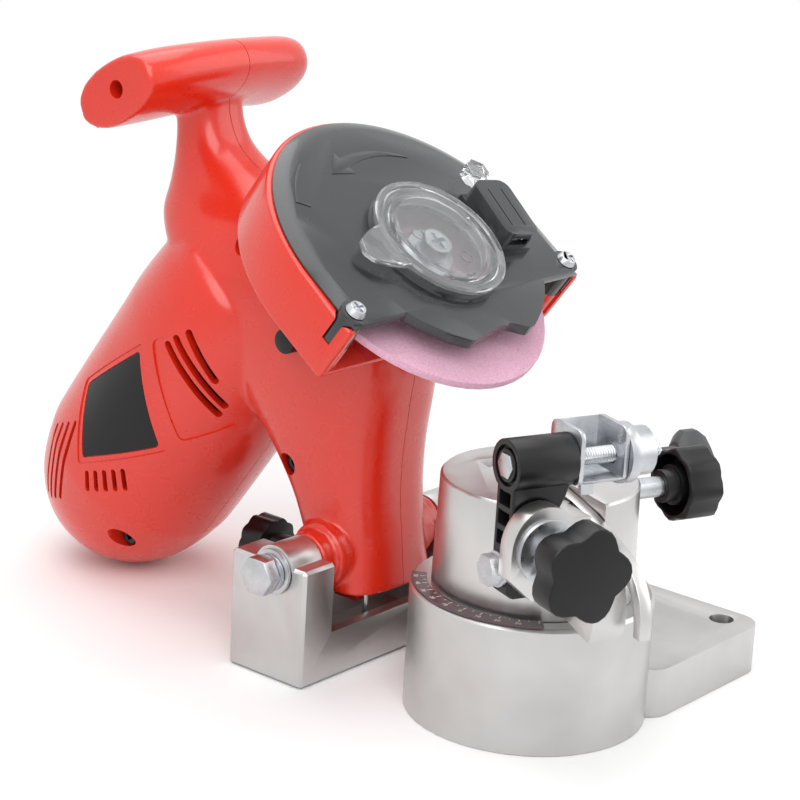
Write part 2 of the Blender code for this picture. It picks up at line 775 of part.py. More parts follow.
def scale_plate(shop):
    steps = 30
    outer = [SCALE_FROM + SCALE_SWEEP * i / steps for i in range(steps + 1)]
    outline = [(SCALE_OUT_R * math.cos(a), SCALE_OUT_R * math.sin(a)) for a in outer]
    outline += [(SCALE_IN_R * math.cos(a), SCALE_IN_R * math.sin(a)) for a in reversed(outer)]
    prism(shop, "angle_scale_plate", outline, BASE_H + GAP, BASE_H + GAP + SCALE_T, "Z", None, "scale")


def pivot_hardware(shop):
    centre = (0, PIVOT_Y, PIVOT_Z)
    bore = PIVOT_BOLT_R + GAP
    face = EAR_OUT + GAP
    nut(shop, "pivot_washer_left", WASHER_R, -face - WASHER_T, -face, bore, centre, "X", None, "steel", 24)
    spring_face = face + WASHER_T + GAP
    nut(
        shop, "pivot_spring_washer", SPRING_WASHER_R, -spring_face - SPRING_WASHER_T, -spring_face, bore,
        centre,
        "X", None, "steel", 24,
    )
    head = spring_face + SPRING_WASHER_T + GAP
    nut(shop, "pivot_washer_right", WASHER_R, face, face + WASHER_T, bore, centre, "X", None, "steel", 24)
    nut_face = face + WASHER_T + GAP
    nut(shop, "pivot_nut", BOLT_HEAD_R, nut_face, nut_face + NUT_T, bore, centre, "X", None, "steel")
    hex_bolt(
        shop, "pivot_bolt", BOLT_HEAD_R, -head - BOLT_HEAD_T, -head, PIVOT_BOLT_R,
        nut_face + NUT_T + OVERRUN, centre,
        "X", None, "steel",
    )


def depth_stop(shop):
    centre = (0, 0, STOP_Z)
    tip = HEEL_BACK + STOP_TIP_GAP
    frame = shop.frame("depth_stop_axis", (0, tip, STOP_Z))
    local = (0, 0, 0)
    boss_end = EAR_FRONT + EAR_DEPTH + STOP_BOSS_OUT
    knob_at = STOP_KNOB_FACE - tip
    screw_end = knob_at + STOP_KNOB_T - OVERRUN
    rod(shop, "depth_screw", STOP_SCREW_R, 0, screw_end, local, "Y", frame, "steel", 20)
    outline = lobed(STOP_KNOB_R, STOP_KNOB_R - OVERRUN / 2, 10, 4)
    knob = prism(shop, "depth_knob", outline, knob_at, knob_at + STOP_KNOB_T, "Y", frame, "black")
    join(knob, rod(shop, "depth_knob_neck", STOP_KNOB_R / 2, knob_at - 3 * OVERRUN, knob_at + GAP, local,
                   "Y", frame))
    bore_end = screw_end + GAP
    cut(knob, rod(shop, "depth_knob_bore", STOP_SCREW_R + GAP, 0, bore_end, local, "Y", frame, steps=20))
    settle(knob)
    lock_from = boss_end + GAP
    nut(
        shop, "depth_lock_nut", BOLT_HEAD_R, lock_from, lock_from + STOP_NUT_T, STOP_SCREW_R + GAP, centre,
        "Y", None,
        "steel",
    )


def return_spring(shop, head):
    """A torsion coil round the pivot bolt, one leg down on the trough floor and one up in the column."""
    curve = bpy.data.curves.new("return_spring", "CURVE")
    curve.dimensions = "3D"
    curve.bevel_depth = SPRING_WIRE_R
    curve.bevel_resolution = 1
    curve.use_fill_caps = True
    half = SPRING_TURNS * SPRING_PITCH / 2
    floor_leg = PIVOT_Z - TROUGH_FLOOR - SPRING_WIRE_R - GAP
    points = [(-half, -SPRING_R, -floor_leg), (-half, -SPRING_R, -floor_leg / 2)]
    turns = SPRING_TURNS
    count = turns * 12
    for i in range(count + 1):
        angle = math.pi - 2 * math.pi * turns * i / count
        along = -half + 2 * half * i / count
        points.append((along, SPRING_R * math.cos(angle), SPRING_R * math.sin(angle)))
    top = SPRING_ROOM_R + OVERRUN
    points.append((half, -SPRING_R, top / 2))
    points.append((half, -SPRING_R, top))
    line = curve.splines.new("POLY")
    line.points.add(len(points) - 1)
    for point, where in zip(line.points, points):
        point.co = (*where, 1.0)
    guide = bpy.data.objects.new("return_spring_path", curve)
    shop.cutters.objects.link(guide)
    bpy.context.view_layer.update()
    mesh = bpy.data.meshes.new_from_object(guide.evaluated_get(bpy.context.evaluated_depsgraph_get()))
    bpy.data.objects.remove(guide)
    shape = bmesh.new()
    shape.from_mesh(mesh)
    bmesh.ops.remove_doubles(shape, verts=shape.verts, dist=OVERRUN / 400)
    bmesh.ops.recalc_face_normals(shape, faces=shape.faces)
    shape.to_mesh(mesh)
    shape.free()
    mesh.materials.clear()
    spring_frame = shop.frame("spring_axis", (0, PIVOT_Y, PIVOT_Z))
    place(shop, "return_spring", mesh, spring_frame, "steel")


# Head housing


def column_ring(level, shrink=0.0, back_shrink=0.0):
    """One level ring of the column, found between the levels of the table."""
    rows = COLUMN_LEVELS
    level_in = min(max(level, rows[0][0]), rows[-1][0])
    for lower, upper in zip(rows, rows[1:]):
        if lower[0] <= level_in <= upper[0]:
            share = (level_in - lower[0]) / (upper[0] - lower[0])
            half, front, back = (a + (b - a) * share for a, b in zip(lower[1:], upper[1:]))
            break
    front += shrink
    back -= shrink + back_shrink
    middle, depth = (front + back) / 2, (back - front) / 2
    return [
        (x, middle + y, level) for x, y in rounded(half - shrink, depth, COLUMN_STEPS, COLUMN_SQUARENESS)
    ]


def column(shop, base):
    return loft(shop, "housing", [column_ring(row[0]) for row in COLUMN_LEVELS], base, "red")


def column_core(shop, base):
    levels = [PIVOT_Z + SPRING_ROOM_R + OVERRUN + (STOP_KNOB_R * i) / 2 for i in range(4)]
    rings = [column_ring(level, WALL, BARREL_R / 2) for level in levels]
    return loft(shop, "column_core", rings, base)


def handle_rings():
    rings = []
    c, s = math.cos(HANDLE_TILT), math.sin(HANDLE_TILT)
    for along, size in HANDLE_STATIONS:
        x = HANDLE_END * along
        middle_y = HANDLE_Y + HANDLE_SWEEP * along * along
        middle_z = HANDLE_Z - HANDLE_DROOP * along * along
        oval = rounded(HANDLE_MAJOR * size, HANDLE_MINOR * size, HANDLE_STEPS, HANDLE_SQUARENESS)
        rings.append([(x, middle_y + a * c - b * s, middle_z + a * s + b * c) for a, b in oval])
    return rings


def barrel(shop, spindle):
    profile = [
        (0, BARREL_FRONT),
        (BARREL_R * 0.73, BARREL_FRONT),
        (BARREL_R * 0.93, BULKHEAD_FRONT),
        (BARREL_R, -2 * BARREL_R),
        (BARREL_R, BARREL_SHOULDER + BARREL_R / 3),
        (BARREL_R * 0.975, BARREL_SHOULDER),
        (BARREL_R * 0.86, BARREL_END + BARREL_R * 0.54),
        (BARREL_R * 0.65, BARREL_END + BARREL_R * 0.21),
        (BARREL_R * 0.36, BARREL_END + BARREL_R * 0.05),
        (0, BARREL_END),
    ]
    return turned(shop, "barrel", profile, spindle, None, 32, False, (0, MOTOR_Y, 0))


def motor_room(shop, spindle):
    room_r = BARREL_R - WALL - GAP * 3
    bearing = BEARING_R + GAP
    rear = SHAFT_BACK + BEARING_T + OVERRUN
    front = REAR_BEARING
    profile = [
        (0, BELT_FROM - BELT_W - OVERRUN / 2),
        (SHAFT_R + GAP * 3, BELT_FROM - BELT_W - OVERRUN / 2),
        (SHAFT_R + GAP * 3, front),
        (bearing, front),
        (bearing, front - BEARING_T - GAP),
        (bearing * 0.6, front - BEARING_T - GAP),
        (bearing * 0.6, BULKHEAD_BACK),
        (room_r * 0.92, BULKHEAD_BACK),
        (room_r, BULKHEAD_BACK - OVERRUN * 4),
        (room_r, BARREL_SHOULDER + OVERRUN * 2),
        (room_r * 0.82, BARREL_ROOM_END),
        (bearing, BARREL_ROOM_END),
        (bearing, rear - BEARING_T - GAP),
        (bearing * 0.55, rear - BEARING_T - GAP),
        (bearing * 0.55, SHAFT_BACK - OVERRUN),
        (0, SHAFT_BACK - OVERRUN),
    ]
    return turned(shop, "motor_room", profile, spindle, None, ROUND_STEPS, False, (0, MOTOR_Y, 0))


def spindle_room(shop, spindle):
    bearing = BEARING_R + GAP
    gallery = bearing * 0.7
    profile = [
        (0, GUARD_FLOOR + OVERRUN),
        (gallery, GUARD_FLOOR + OVERRUN),
        (gallery, FRONT_BEARING),
        (bearing, FRONT_BEARING),
        (bearing, FRONT_BEARING - BEARING_T - GAP),
        (gallery, FRONT_BEARING - BEARING_T - GAP),
        (gallery, REAR_BEARING),
        (bearing, REAR_BEARING),
        (bearing, REAR_BEARING - BEARING_T - GAP),
        (gallery, REAR_BEARING - BEARING_T - GAP),
        (gallery, SPINDLE_BACK - OVERRUN),
        (0, SPINDLE_BACK - OVERRUN),
    ]
    return turned(shop, "spindle_room", profile, spindle, None, 28)


def belt_outline(spare, steps=9):
    """The loop round both pulleys, this far outside them."""
    big, small = SPINDLE_PULLEY_R + spare, MOTOR_PULLEY_R + spare
    lean = math.asin((big - small) / MOTOR_Y)
    points = []
    for i in range(steps + 1):
        angle = lean + (math.pi - 2 * lean) * i / steps
        points.append((small * math.cos(angle), MOTOR_Y + small * math.sin(angle)))
    for i in range(steps + 1):
        angle = math.pi - lean + (math.pi + 2 * lean) * i / steps
        points.append((big * math.cos(angle), big * math.sin(angle)))
    return points


def guard(shop, spindle):
    shell = prism(shop, "guard", dome_outline(GUARD_R, GUARD_SKIRT, 40), GUARD_BACK, GUARD_RIM, "Z", spindle)
    inside = dome_outline(GUARD_R - GUARD_WALL, GUARD_SKIRT - OVERRUN * 2, 40)
    cut(shell, prism(shop, "guard_room", inside, GUARD_FLOOR, GUARD_RIM + OVERRUN, "Z", spindle))
    for side in (-1, 1):
        centre = (side * COVER_SCREW_X, COVER_SCREW_Y, 0)
        join(shell, rod(shop, "cover_post", COVER_POST_R, GUARD_FLOOR - GAP, GUARD_RIM - GAP, centre, "Z",
                        spindle))
    settle(shell)
    for side in (-1, 1):
        centre = (side * COVER_SCREW_X, COVER_SCREW_Y, 0)
        bore = COVER_SCREW_SHANK_R + GAP
        depth = COVER_SCREW_LENGTH
        cut(shell, rod(shop, "cover_screw_bore", bore, GUARD_RIM - depth, GUARD_RIM + OVERRUN, centre, "Z",
                       spindle))
    return settle(shell)


def around_barrel(angle, depth, radius):
    """A matrix on the barrel: X along it, Y round it, Z outwards. Angles run from -X upwards."""
    outward = Vector((-math.cos(angle), math.sin(angle), 0))
    along = Vector((0, 0, 1))
    around = outward.cross(along)
    place_at = Vector((0, MOTOR_Y, depth)) + outward * radius
    matrix = Matrix((along, around, outward)).transposed().to_4x4()
    matrix.translation = place_at
    return matrix


def barrel_slot(shop, spindle, start, end, width):
    """A slot through the barrel's wall between two (depth, angle) places."""
    (d0, a0), (d1, a1) = start, end
    middle = around_barrel((a0 + a1) / 2, (d0 + d1) / 2, BARREL_R - WALL)
    run = Vector((d1 - d0, (a1 - a0) * BARREL_R, 0))
    turn = Matrix.Rotation(math.atan2(run.y, run.x), 4, "Z")
    size = Matrix.Diagonal((run.length, width, WALL * 4, 1.0))
    matrix = middle @ turn @ size
    return mesh_object(shop, "vent", lambda shape: bmesh.ops.create_cube(shape, size=1.0, matrix=matrix),
                       spindle)


LONG_VENTS = (((-1.93, -3), (-2.24, -48)), ((-1.81, -5), (-2.12, -48)), ((-1.67, -9), (-1.91, -36)))
SHORT_VENT_FIRST = ((-3.72, -6), (-3.87, -12))
SHORT_VENT_LAST = ((-3.39, -22), (-3.56, -29))
END_VENT_FIRST = ((-3.50, 19), (-4.30, 2))
END_VENT_LAST = ((-3.82, 33), (-4.55, 15))


def vents(shop, spindle):
    """Slots on the barrel's left, mirrored on its right; lengths are shares of its radius."""
    places = [(slot, VENT_W) for slot in LONG_VENTS]
    for first, last, count in ((SHORT_VENT_FIRST, SHORT_VENT_LAST, 5), (END_VENT_FIRST, END_VENT_LAST, 4)):
        for i in range(count):
            share = i / (count - 1)
            slot = tuple(
                (a[0] + (b[0] - a[0]) * share, a[1] + (b[1] - a[1]) * share) for a, b in zip(first, last)
            )
            places.append((slot, SHORT_VENT_W))
    tools = []
    for slot, width in places:
        left = [(d * BARREL_R, math.radians(a)) for d, a in slot]
        tools.append(barrel_slot(shop, spindle, left[0], left[1], width))
        right = [(d, math.pi - a) for d, a in left]
        tools.append(barrel_slot(shop, spindle, right[0], right[1], width))
    return tools


PLATE_SHARES = (-2.55, -3.50, 2.0)


def plate_box(shop, name, spindle, spare):
    """The turned box that bounds the rating plate on the barrel."""
    near, far, angle = PLATE_SHARES
    middle = around_barrel(math.radians(angle), (near + far) / 2 * BARREL_R, BARREL_R)
    turn = Matrix.Rotation(math.radians(-27), 4, "Z")
    size = Matrix.Diagonal((BARREL_R * 0.93 + 2 * spare, BARREL_R * 0.83 + 2 * spare, BARREL_R / 2, 1.0))
    matrix = middle @ turn @ size
    return mesh_object(shop, name, lambda shape: bmesh.ops.create_cube(shape, size=1.0, matrix=matrix),
                       spindle)


def rating_plate(shop, spindle):
    outer = BARREL_R - PLATE_RECESS + 2 * GAP
    inner = BARREL_R - PLATE_RECESS + GAP
    plate = ring(
        shop, "rating_plate", outer, inner, BARREL_END, -BARREL_R * 1.5, spindle, "black", (0, MOTOR_Y, 0),
        "Z", 32,
    )
    combine(plate, plate_box(shop, "plate_edge", spindle, -GAP), "INTERSECT")
    return settle(plate)


def plate_recess(shop, spindle):
    recess = ring(
        shop, "plate_recess", BARREL_R + OVERRUN, BARREL_R - PLATE_RECESS, BARREL_SHOULDER, -BARREL_R * 1.5,
        spindle,
        None, (0, MOTOR_Y, 0), "Z", 32,
    )
    combine(recess, plate_box(shop, "recess_edge", spindle, 0), "INTERSECT")
    return settle(recess)


SCREW_PLACES = (
    ("neck", 120.0 * MM, 151.0 * MM, 27.0 * MM),
    ("foot", 97.5 * MM, 71.5 * MM, 26.0 * MM),
    ("barrel", 179.0 * MM, 21.5 * MM, 30.0 * MM),
)


def housing_screws(shop, base):
    """The screws that hold the right half, each at the bottom of its deep hole in the left half."""
    for name, y, z, face in SCREW_PLACES:
        centre = (0, y, z)
        seat = -(face - SCREW_HOLE_DEPTH)
        screw = rod(
            shop, "housing_screw_" + name, SCREW_HEAD_R, seat - SCREW_HEAD_H, seat - GAP, centre, "X", base,
            "steel"
        )
        shank = rod(shop, "screw_shank", SCREW_SHANK_R, seat - 2 * GAP, seat + SCREW_SHANK_L + face / 2,
                    centre, "X", base)
        join(screw, shank)
        cut(screw, rod(shop, "screw_socket", SCREW_SHANK_R, seat - 2 * SCREW_HEAD_H, seat - SCREW_HEAD_H / 2,
                       centre, "X",
                       base, steps=6))
        settle(screw)


def screw_bores(shop, base):
    tools = []
    for _, y, z, face in SCREW_PLACES:
        centre = (0, y, z)
        seat = -(face - SCREW_HOLE_DEPTH)
        tools.append(rod(shop, "screw_hole", SCREW_HOLE_R, -2 * face, seat, centre, "X", base))
        end = seat + SCREW_SHANK_L + face / 2 + 2 * GAP
        tools.append(rod(shop, "screw_bore", SCREW_SHANK_R + GAP, seat - GAP, end, centre, "X", base,
                         steps=12))
    return tools


def foot_bosses(shop, base):
    centre = (0, PIVOT_Y, PIVOT_Z)
    reach = EAR_OUT - EAR_T - 2 * GAP
    return (
        rod(shop, "foot_boss", FOOT_BOSS_R, -reach, reach, centre, "X", base, steps=28),
        rod(shop, "foot_ring", FOOT_RING_R, -FOOT_RING_X, FOOT_RING_X, centre, "X", base, steps=28),
    )


def spring_room(shop, base):
    centre = (0, PIVOT_Y, PIVOT_Z)
    half = SPRING_ROOM_HALF
    leg = SPRING_WIRE_R + 2 * GAP
    coil_half = SPRING_TURNS * SPRING_PITCH / 2
    front = PIVOT_Y - SPRING_R
    swing = HEEL_HALF / 2
    return (
        rod(shop, "spring_room", SPRING_ROOM_R, -half, half, centre, "X", base, steps=24),
        rod(shop, "foot_bore", PIVOT_BOLT_R + GAP, -2 * EAR_OUT, 2 * EAR_OUT, centre, "X", base),
        box(
            shop, "spring_leg_low", (-coil_half - leg, front - swing, 0),
            (-coil_half + leg, front + leg, PIVOT_Z), base
        ),
        box(
            shop, "spring_leg_high", (coil_half - leg, front - leg, PIVOT_Z),
            (coil_half + leg, front + leg, PIVOT_Z + SPRING_ROOM_R + 2 * OVERRUN), base,
        ),
    )


def trigger_box(shop, name, base, spare, finish=None, out=0.0):
    half = TRIGGER_HALF + spare
    return box(
        shop, name,
        (-half, TRIGGER_FACE - TRIGGER_OUT - TRIGGER_DEEP - (TRIGGER_TRAVEL + GAP if spare else 0),
                     TRIGGER_LOW - spare),
        (half, TRIGGER_FACE + out, TRIGGER_HIGH + spare), base, finish,
    )


def lock_button_rod(shop, name, radius, start, end, spindle, finish=None):
    return rod(shop, name, radius, start, end, (0, LOCK_Y, LOCK_DEPTH), "X", spindle, finish, 20)


def housing(shop, base, spindle):
    """Both halves of the head's shell, made as one and parted at the middle plane."""
    whole = column(shop, base)
    heel = box(shop, "heel", (-HEEL_HALF, HEEL_FRONT, HEEL_BOTTOM), (HEEL_HALF, HEEL_BACK, HEEL_TOP), base)
    join(whole, loft(shop, "handle", handle_rings(), base), barrel(shop, spindle), *foot_bosses(shop, base),
         heel)
    settle(whole)
    join(whole, guard(shop, spindle))
    settle(whole)
    room = motor_room(shop, spindle)
    boss_y, boss_z = SCREW_PLACES[2][1], SCREW_PLACES[2][2]
    cut(room, rod(shop, "room_boss", SCREW_HOLE_R, -2 * BARREL_R, 2 * BARREL_R, (0, boss_y, boss_z), "X",
                  base))
    settle(room)
    belt_room = prism(
        shop, "belt_room", belt_outline(GAP + BELT_T + BELT_ROOM), BELT_FROM - BELT_W - OVERRUN,
        BELT_FROM + OVERRUN / 2, "Z", spindle,
    )
    cut(whole, room, spindle_room(shop, spindle), belt_room, column_core(shop, base))
    settle(whole)
    cut(whole, *spring_room(shop, base))
    cut(whole, trigger_box(shop, "trigger_slot", base, GAP, None, 4 * OVERRUN))
    lock_end = LOCK_FACE + LOCK_LENGTH + TRIGGER_TRAVEL + GAP
    cut(whole, lock_button_rod(shop, "lock_bore", LOCK_R + GAP, -2 * BARREL_R, lock_end, spindle))
    cut(whole, plate_recess(shop, spindle))
    settle(whole)
    cut(whole, *screw_bores(shop, base))
    settle(whole)
    cut(whole, *vents(shop, spindle))
    settle(whole)
    return part_halves(shop, whole, base)


def part_halves(shop, whole, base):
    reach = 8 * BARREL_R
    right = whole.copy()
    right.data = whole.data.copy()
    right.name = "housing_right"
    shop.parts.objects.link(right)
    whole.name = "housing_left"
    cut(whole, box(shop, "right_side", (-GAP / 2, -reach, -reach), (reach, 2 * reach, reach), base))
    cut(right, box(shop, "left_side", (-reach, -reach, -reach), (GAP / 2, 2 * reach, reach), base))
    settle(whole)
    settle(right)
    return whole, right


# Drive inside the head


def motor(shop, spindle):
    centre = (0, MOTOR_Y, 0)
    ring(shop, "motor_stator", STATOR_R, STATOR_BORE_R, STATOR_TO, STATOR_FROM, spindle, "core", centre)
    axis = shop.frame("motor_axis", centre, (0, 0, 0), spindle)
    profile = [
        (0, SHAFT_FRONT),
        (SHAFT_R, SHAFT_FRONT),
        (SHAFT_R, STATOR_FROM - OVERRUN),
        (ARMATURE_R, STATOR_FROM - OVERRUN),
        (ARMATURE_R, STATOR_TO + OVERRUN),
        (SHAFT_R, STATOR_TO + OVERRUN),
        (SHAFT_R, SHAFT_BACK),
        (0, SHAFT_BACK),
    ]
    turned(shop, "armature", profile, axis, "core", 32)
    bore = SHAFT_R + GAP
    ring(shop, "commutator", COMMUTATOR_R, bore, COMMUTATOR_TO, COMMUTATOR_FROM, axis, "copper", steps=24)
    ring(shop, "motor_pulley", MOTOR_PULLEY_R, bore, BELT_FROM - BELT_W, BELT_FROM, axis, "steel", steps=24)
    fan(shop, axis)
    rear = SHAFT_BACK + BEARING_T + OVERRUN
    front = REAR_BEARING
    ring(shop, "motor_bearing_front", BEARING_R, bore, front - BEARING_T, front - GAP, spindle, "steel",
         centre, steps=28)
    ring(shop, "motor_bearing_rear", BEARING_R, bore, rear - BEARING_T, rear - GAP, spindle, "steel", centre,
         steps=28)
    brushes(shop, spindle)


def fan(shop, axis):
    disc = ring(shop, "cooling_fan", FAN_R, SHAFT_R + GAP, FAN_FROM - FAN_T, FAN_FROM, axis, "black")
    hub = ring(shop, "fan_hub", FAN_R / 4, SHAFT_R + GAP, FAN_FROM - FAN_T - FAN_BLADE_H, FAN_FROM, axis,
               steps=24)
    join(disc, hub)
    settle(disc)
    for i in range(FAN_BLADES):
        turn = Matrix.Rotation(2 * math.pi * i / FAN_BLADES, 4, "Z")
        reach = (FAN_R * 0.98 + FAN_R * 0.21) / 2
        size = (FAN_R * 0.77, FAN_BLADE_T, FAN_BLADE_H + GAP, 1.0)
        height = FAN_FROM - FAN_T - FAN_BLADE_H / 2 + GAP / 2
        matrix = turn @ Matrix.Translation((reach, 0, height)) @ Matrix.Diagonal(size)
        blade = mesh_object(
            shop, "fan_blade", lambda shape, at=matrix: bmesh.ops.create_cube(shape, size=1.0, matrix=at),
            axis
        )
        join(disc, blade)
    return settle(disc)


def brushes(shop, spindle):
    middle = (COMMUTATOR_FROM + COMMUTATOR_TO) / 2
    half, outside = BRUSH_W / 2, BRUSH_HOLDER_W / 2
    near = COMMUTATOR_R + GAP
    for side, word in ((-1, "left"), (1, "right")):
        start, end = sorted((side * near, side * (near + BRUSH_REACH / 2)))
        low = (start, MOTOR_Y - half, middle - half)
        box(shop, "brush_" + word, low, (end, MOTOR_Y + half, middle + half), spindle, "core")
        start, end = sorted((side * (near + OVERRUN), side * (near + BRUSH_REACH * 0.75)))
        low = (start, MOTOR_Y - outside, middle - outside)
        holder = box(shop, "brush_holder_" + word, low, (end, MOTOR_Y + outside, middle + outside), spindle,
                     "copper")
        clear = half + GAP
        low = (start - OVERRUN, MOTOR_Y - clear, middle - clear)
        cut(holder, box(shop, "brush_slot", low, (end + OVERRUN, MOTOR_Y + clear, middle + clear), spindle))
        settle(holder)


def spindle_set(shop, spindle):
    axis = shop.frame("wheel_axis", (0, 0, 0), (0, 0, 0), spindle)
    bore = SPINDLE_R + GAP
    shank = WHEEL_SCREW_SHANK_R + GAP
    centre = (0, 0, 0)
    shaft = rod(shop, "spindle", SPINDLE_R, SPINDLE_BACK, SPINDLE_FRONT, centre, "Z", axis, "steel", 24)
    cut(shaft, rod(shop, "spindle_thread", shank, SPINDLE_FRONT - WHEEL_R / 5, SPINDLE_FRONT + OVERRUN,
                   centre, "Z", axis))
    settle(shaft)
    ring(
        shop, "spindle_pulley", SPINDLE_PULLEY_R, bore, BELT_FROM - BELT_W, BELT_FROM, axis, "steel",
        steps=28
    )
    for word, face in (("front", FRONT_BEARING), ("rear", REAR_BEARING)):
        ring(
            shop, "spindle_bearing_" + word, BEARING_R, bore, face - BEARING_T, face - GAP, spindle, "steel",
            steps=28
        )
    belt = prism(shop, "drive_belt", belt_outline(GAP + BELT_T), BELT_FROM - BELT_W + GAP, BELT_FROM - GAP,
                 "Z", spindle,
                 "rubber")
    inside = prism(shop, "belt_inside", belt_outline(GAP), BELT_FROM - 2 * BELT_W, BELT_FROM + BELT_W, "Z",
                   spindle)
    settle(cut(belt, inside))
    inner_face = SPINDLE_FRONT + GAP
    profile = [
        (WHEEL_BORE_R - GAP, WHEEL_T / 2 - GAP),
        (WHEEL_BORE_R - GAP, -WHEEL_T / 2 - GAP),
        (FLANGE_DISC_R, -WHEEL_T / 2 - GAP),
        (FLANGE_DISC_R, inner_face),
        (shank, inner_face),
        (shank, WHEEL_T / 2 - GAP),
    ]
    turned(shop, "wheel_flange_inner", profile, axis, "steel", 32, True)
    ring(shop, "grinding_wheel", WHEEL_R, WHEEL_BORE_R, -WHEEL_T / 2, WHEEL_T / 2, axis, "pink", steps=56)
    face = WHEEL_T / 2 + GAP
    hub = face + FLANGE_DISC_T + FLANGE_HUB_H
    profile = [
        (FLANGE_HUB_R, hub),
        (FLANGE_HUB_R, face + FLANGE_DISC_T),
        (FLANGE_DISC_R, face + FLANGE_DISC_T),
        (FLANGE_DISC_R, face),
        (shank, face),
        (shank, hub),
    ]
    turned(shop, "wheel_flange_outer", profile, axis, "steel", 32, True)
    seat = hub + GAP
    screw = rod(shop, "wheel_screw", WHEEL_SCREW_R, seat, seat + WHEEL_SCREW_H, centre, "Z", axis, "steel",
                24)
    join(screw, rod(shop, "wheel_screw_shank", WHEEL_SCREW_SHANK_R, seat - WHEEL_SCREW_LENGTH, seat + GAP,
                    centre, "Z",
                    axis))
    settle(screw)
    cross_slot(shop, screw, WHEEL_SCREW_R, seat + WHEEL_SCREW_H, centre, axis)
    return axis


def cross_slot(shop, screw, radius, top, centre, frame):
    """A cross recess in a screw head that faces out of the guard."""
    half, arm = radius / 7, radius * 0.62
    x, y, _ = centre
    depth = radius / 3
    first = box(shop, "cross_a", (x - arm, y - half, top - depth), (x + arm, y + half, top + OVERRUN), frame)
    second = box(shop, "cross_b", (x - half, y - arm, top - depth), (x + half, y + arm, top + OVERRUN),
                 frame)
    return settle(cut(screw, first, second))


# Cover of the guard


COVER_FACE = GUARD_RIM + GAP
PLATE_FACE = COVER_FACE + COVER_T
PLATEAU_FACE = PLATE_FACE + PLATEAU_H


def cover_outline():
    """The round cover with straight sides and a round tongue below."""
    arc = [(COVER_R * math.cos(math.pi * i / 28), COVER_R * math.sin(math.pi * i / 28)) for i in range(29)]
    half_angle = math.asin(COVER_TONGUE_HALF / COVER_TONGUE)
    tongue = []
    for i in range(13):
        angle = -half_angle + 2 * half_angle * i / 12
        tongue.append((COVER_TONGUE * math.sin(angle), -COVER_TONGUE * math.cos(angle)))
    return arc + [(-COVER_R, COVER_SKIRT)] + tongue + [(COVER_R, COVER_SKIRT)]


def guard_cover(shop, spindle):
    cover = prism(shop, "guard_cover", cover_outline(), COVER_FACE, PLATE_FACE, "Z", spindle, "black")
    low = [(x, y, PLATE_FACE - GAP) for x, y in dome_outline(PLATEAU_R, PLATEAU_SKIRT, 40)]
    top_outline = dome_outline(PLATEAU_TOP_R, PLATEAU_SKIRT + PLATEAU_H, 40)
    high = [(x, y, PLATEAU_FACE) for x, y in top_outline]
    join(cover, loft(shop, "cover_plateau", [low, high], spindle))
    for side in (-1, 1):
        centre = (side * COVER_SCREW_X, COVER_SCREW_Y, 0)
        join(cover, rod(shop, "cover_ear", COVER_POST_R, COVER_FACE, PLATE_FACE, centre, "Z", spindle,
                        steps=20))
    settle(cover)
    latch = latch_frame(shop, spindle)
    outline = corner_outline(-LATCH_W / 2, LATCH_W / 2, -LATCH_LENGTH / 2, LATCH_LENGTH / 2, LATCH_W / 4)
    join(cover, prism(shop, "latch_house", outline, PLATE_FACE, PLATEAU_FACE + LATCH_H, "Z", latch))
    settle(cover)
    side = LATCH_SLOT_W / 2 + GAP
    floor = PLATEAU_FACE + OVERRUN - GAP
    cut(
        cover,
        rod(shop, "window", CAP_HOLE_R, COVER_FACE - OVERRUN, PLATEAU_FACE + OVERRUN, (0, 0, 0), "Z",
            spindle, steps=40),
        box(
            shop, "latch_slot", (-side, -LATCH_LENGTH, floor),
            (side, LATCH_LENGTH, floor + LATCH_SLOT_H + 2 * GAP), latch,
        ),
    )
    for side in (-1, 1):
        centre = (side * COVER_SCREW_X, COVER_SCREW_Y, 0)
        bore = COVER_SCREW_SHANK_R + GAP
        cut(cover, rod(shop, "ear_bore", bore, COVER_FACE - OVERRUN, PLATE_FACE + OVERRUN, centre, "Z",
                       spindle))
    settle(cover)
    latch_slide(shop, latch)
    return cover


def latch_frame(shop, spindle):
    return shop.frame("latch_axis", (LATCH_X, LATCH_Y, 0), (0, 0, LATCH_TURN), spindle)


def latch_slide(shop, latch):
    low = PLATEAU_FACE + OVERRUN
    half = LATCH_SLOT_W / 2
    start = -LATCH_LENGTH / 2 + OVERRUN
    end = LATCH_LENGTH / 2 + LATCH_PIN_PAD_OUT
    slide = box(shop, "latch_slide", (-half, start, low), (half, end, low + LATCH_SLOT_H), latch, "clear")
    pad = rod(
        shop, "latch_pad", LATCH_PIN_PAD_R, low - OVERRUN / 2, low + LATCH_SLOT_H + OVERRUN,
        (0, end, 0), "Z", latch, steps=6,
    )
    join(slide, pad)
    return settle(slide)


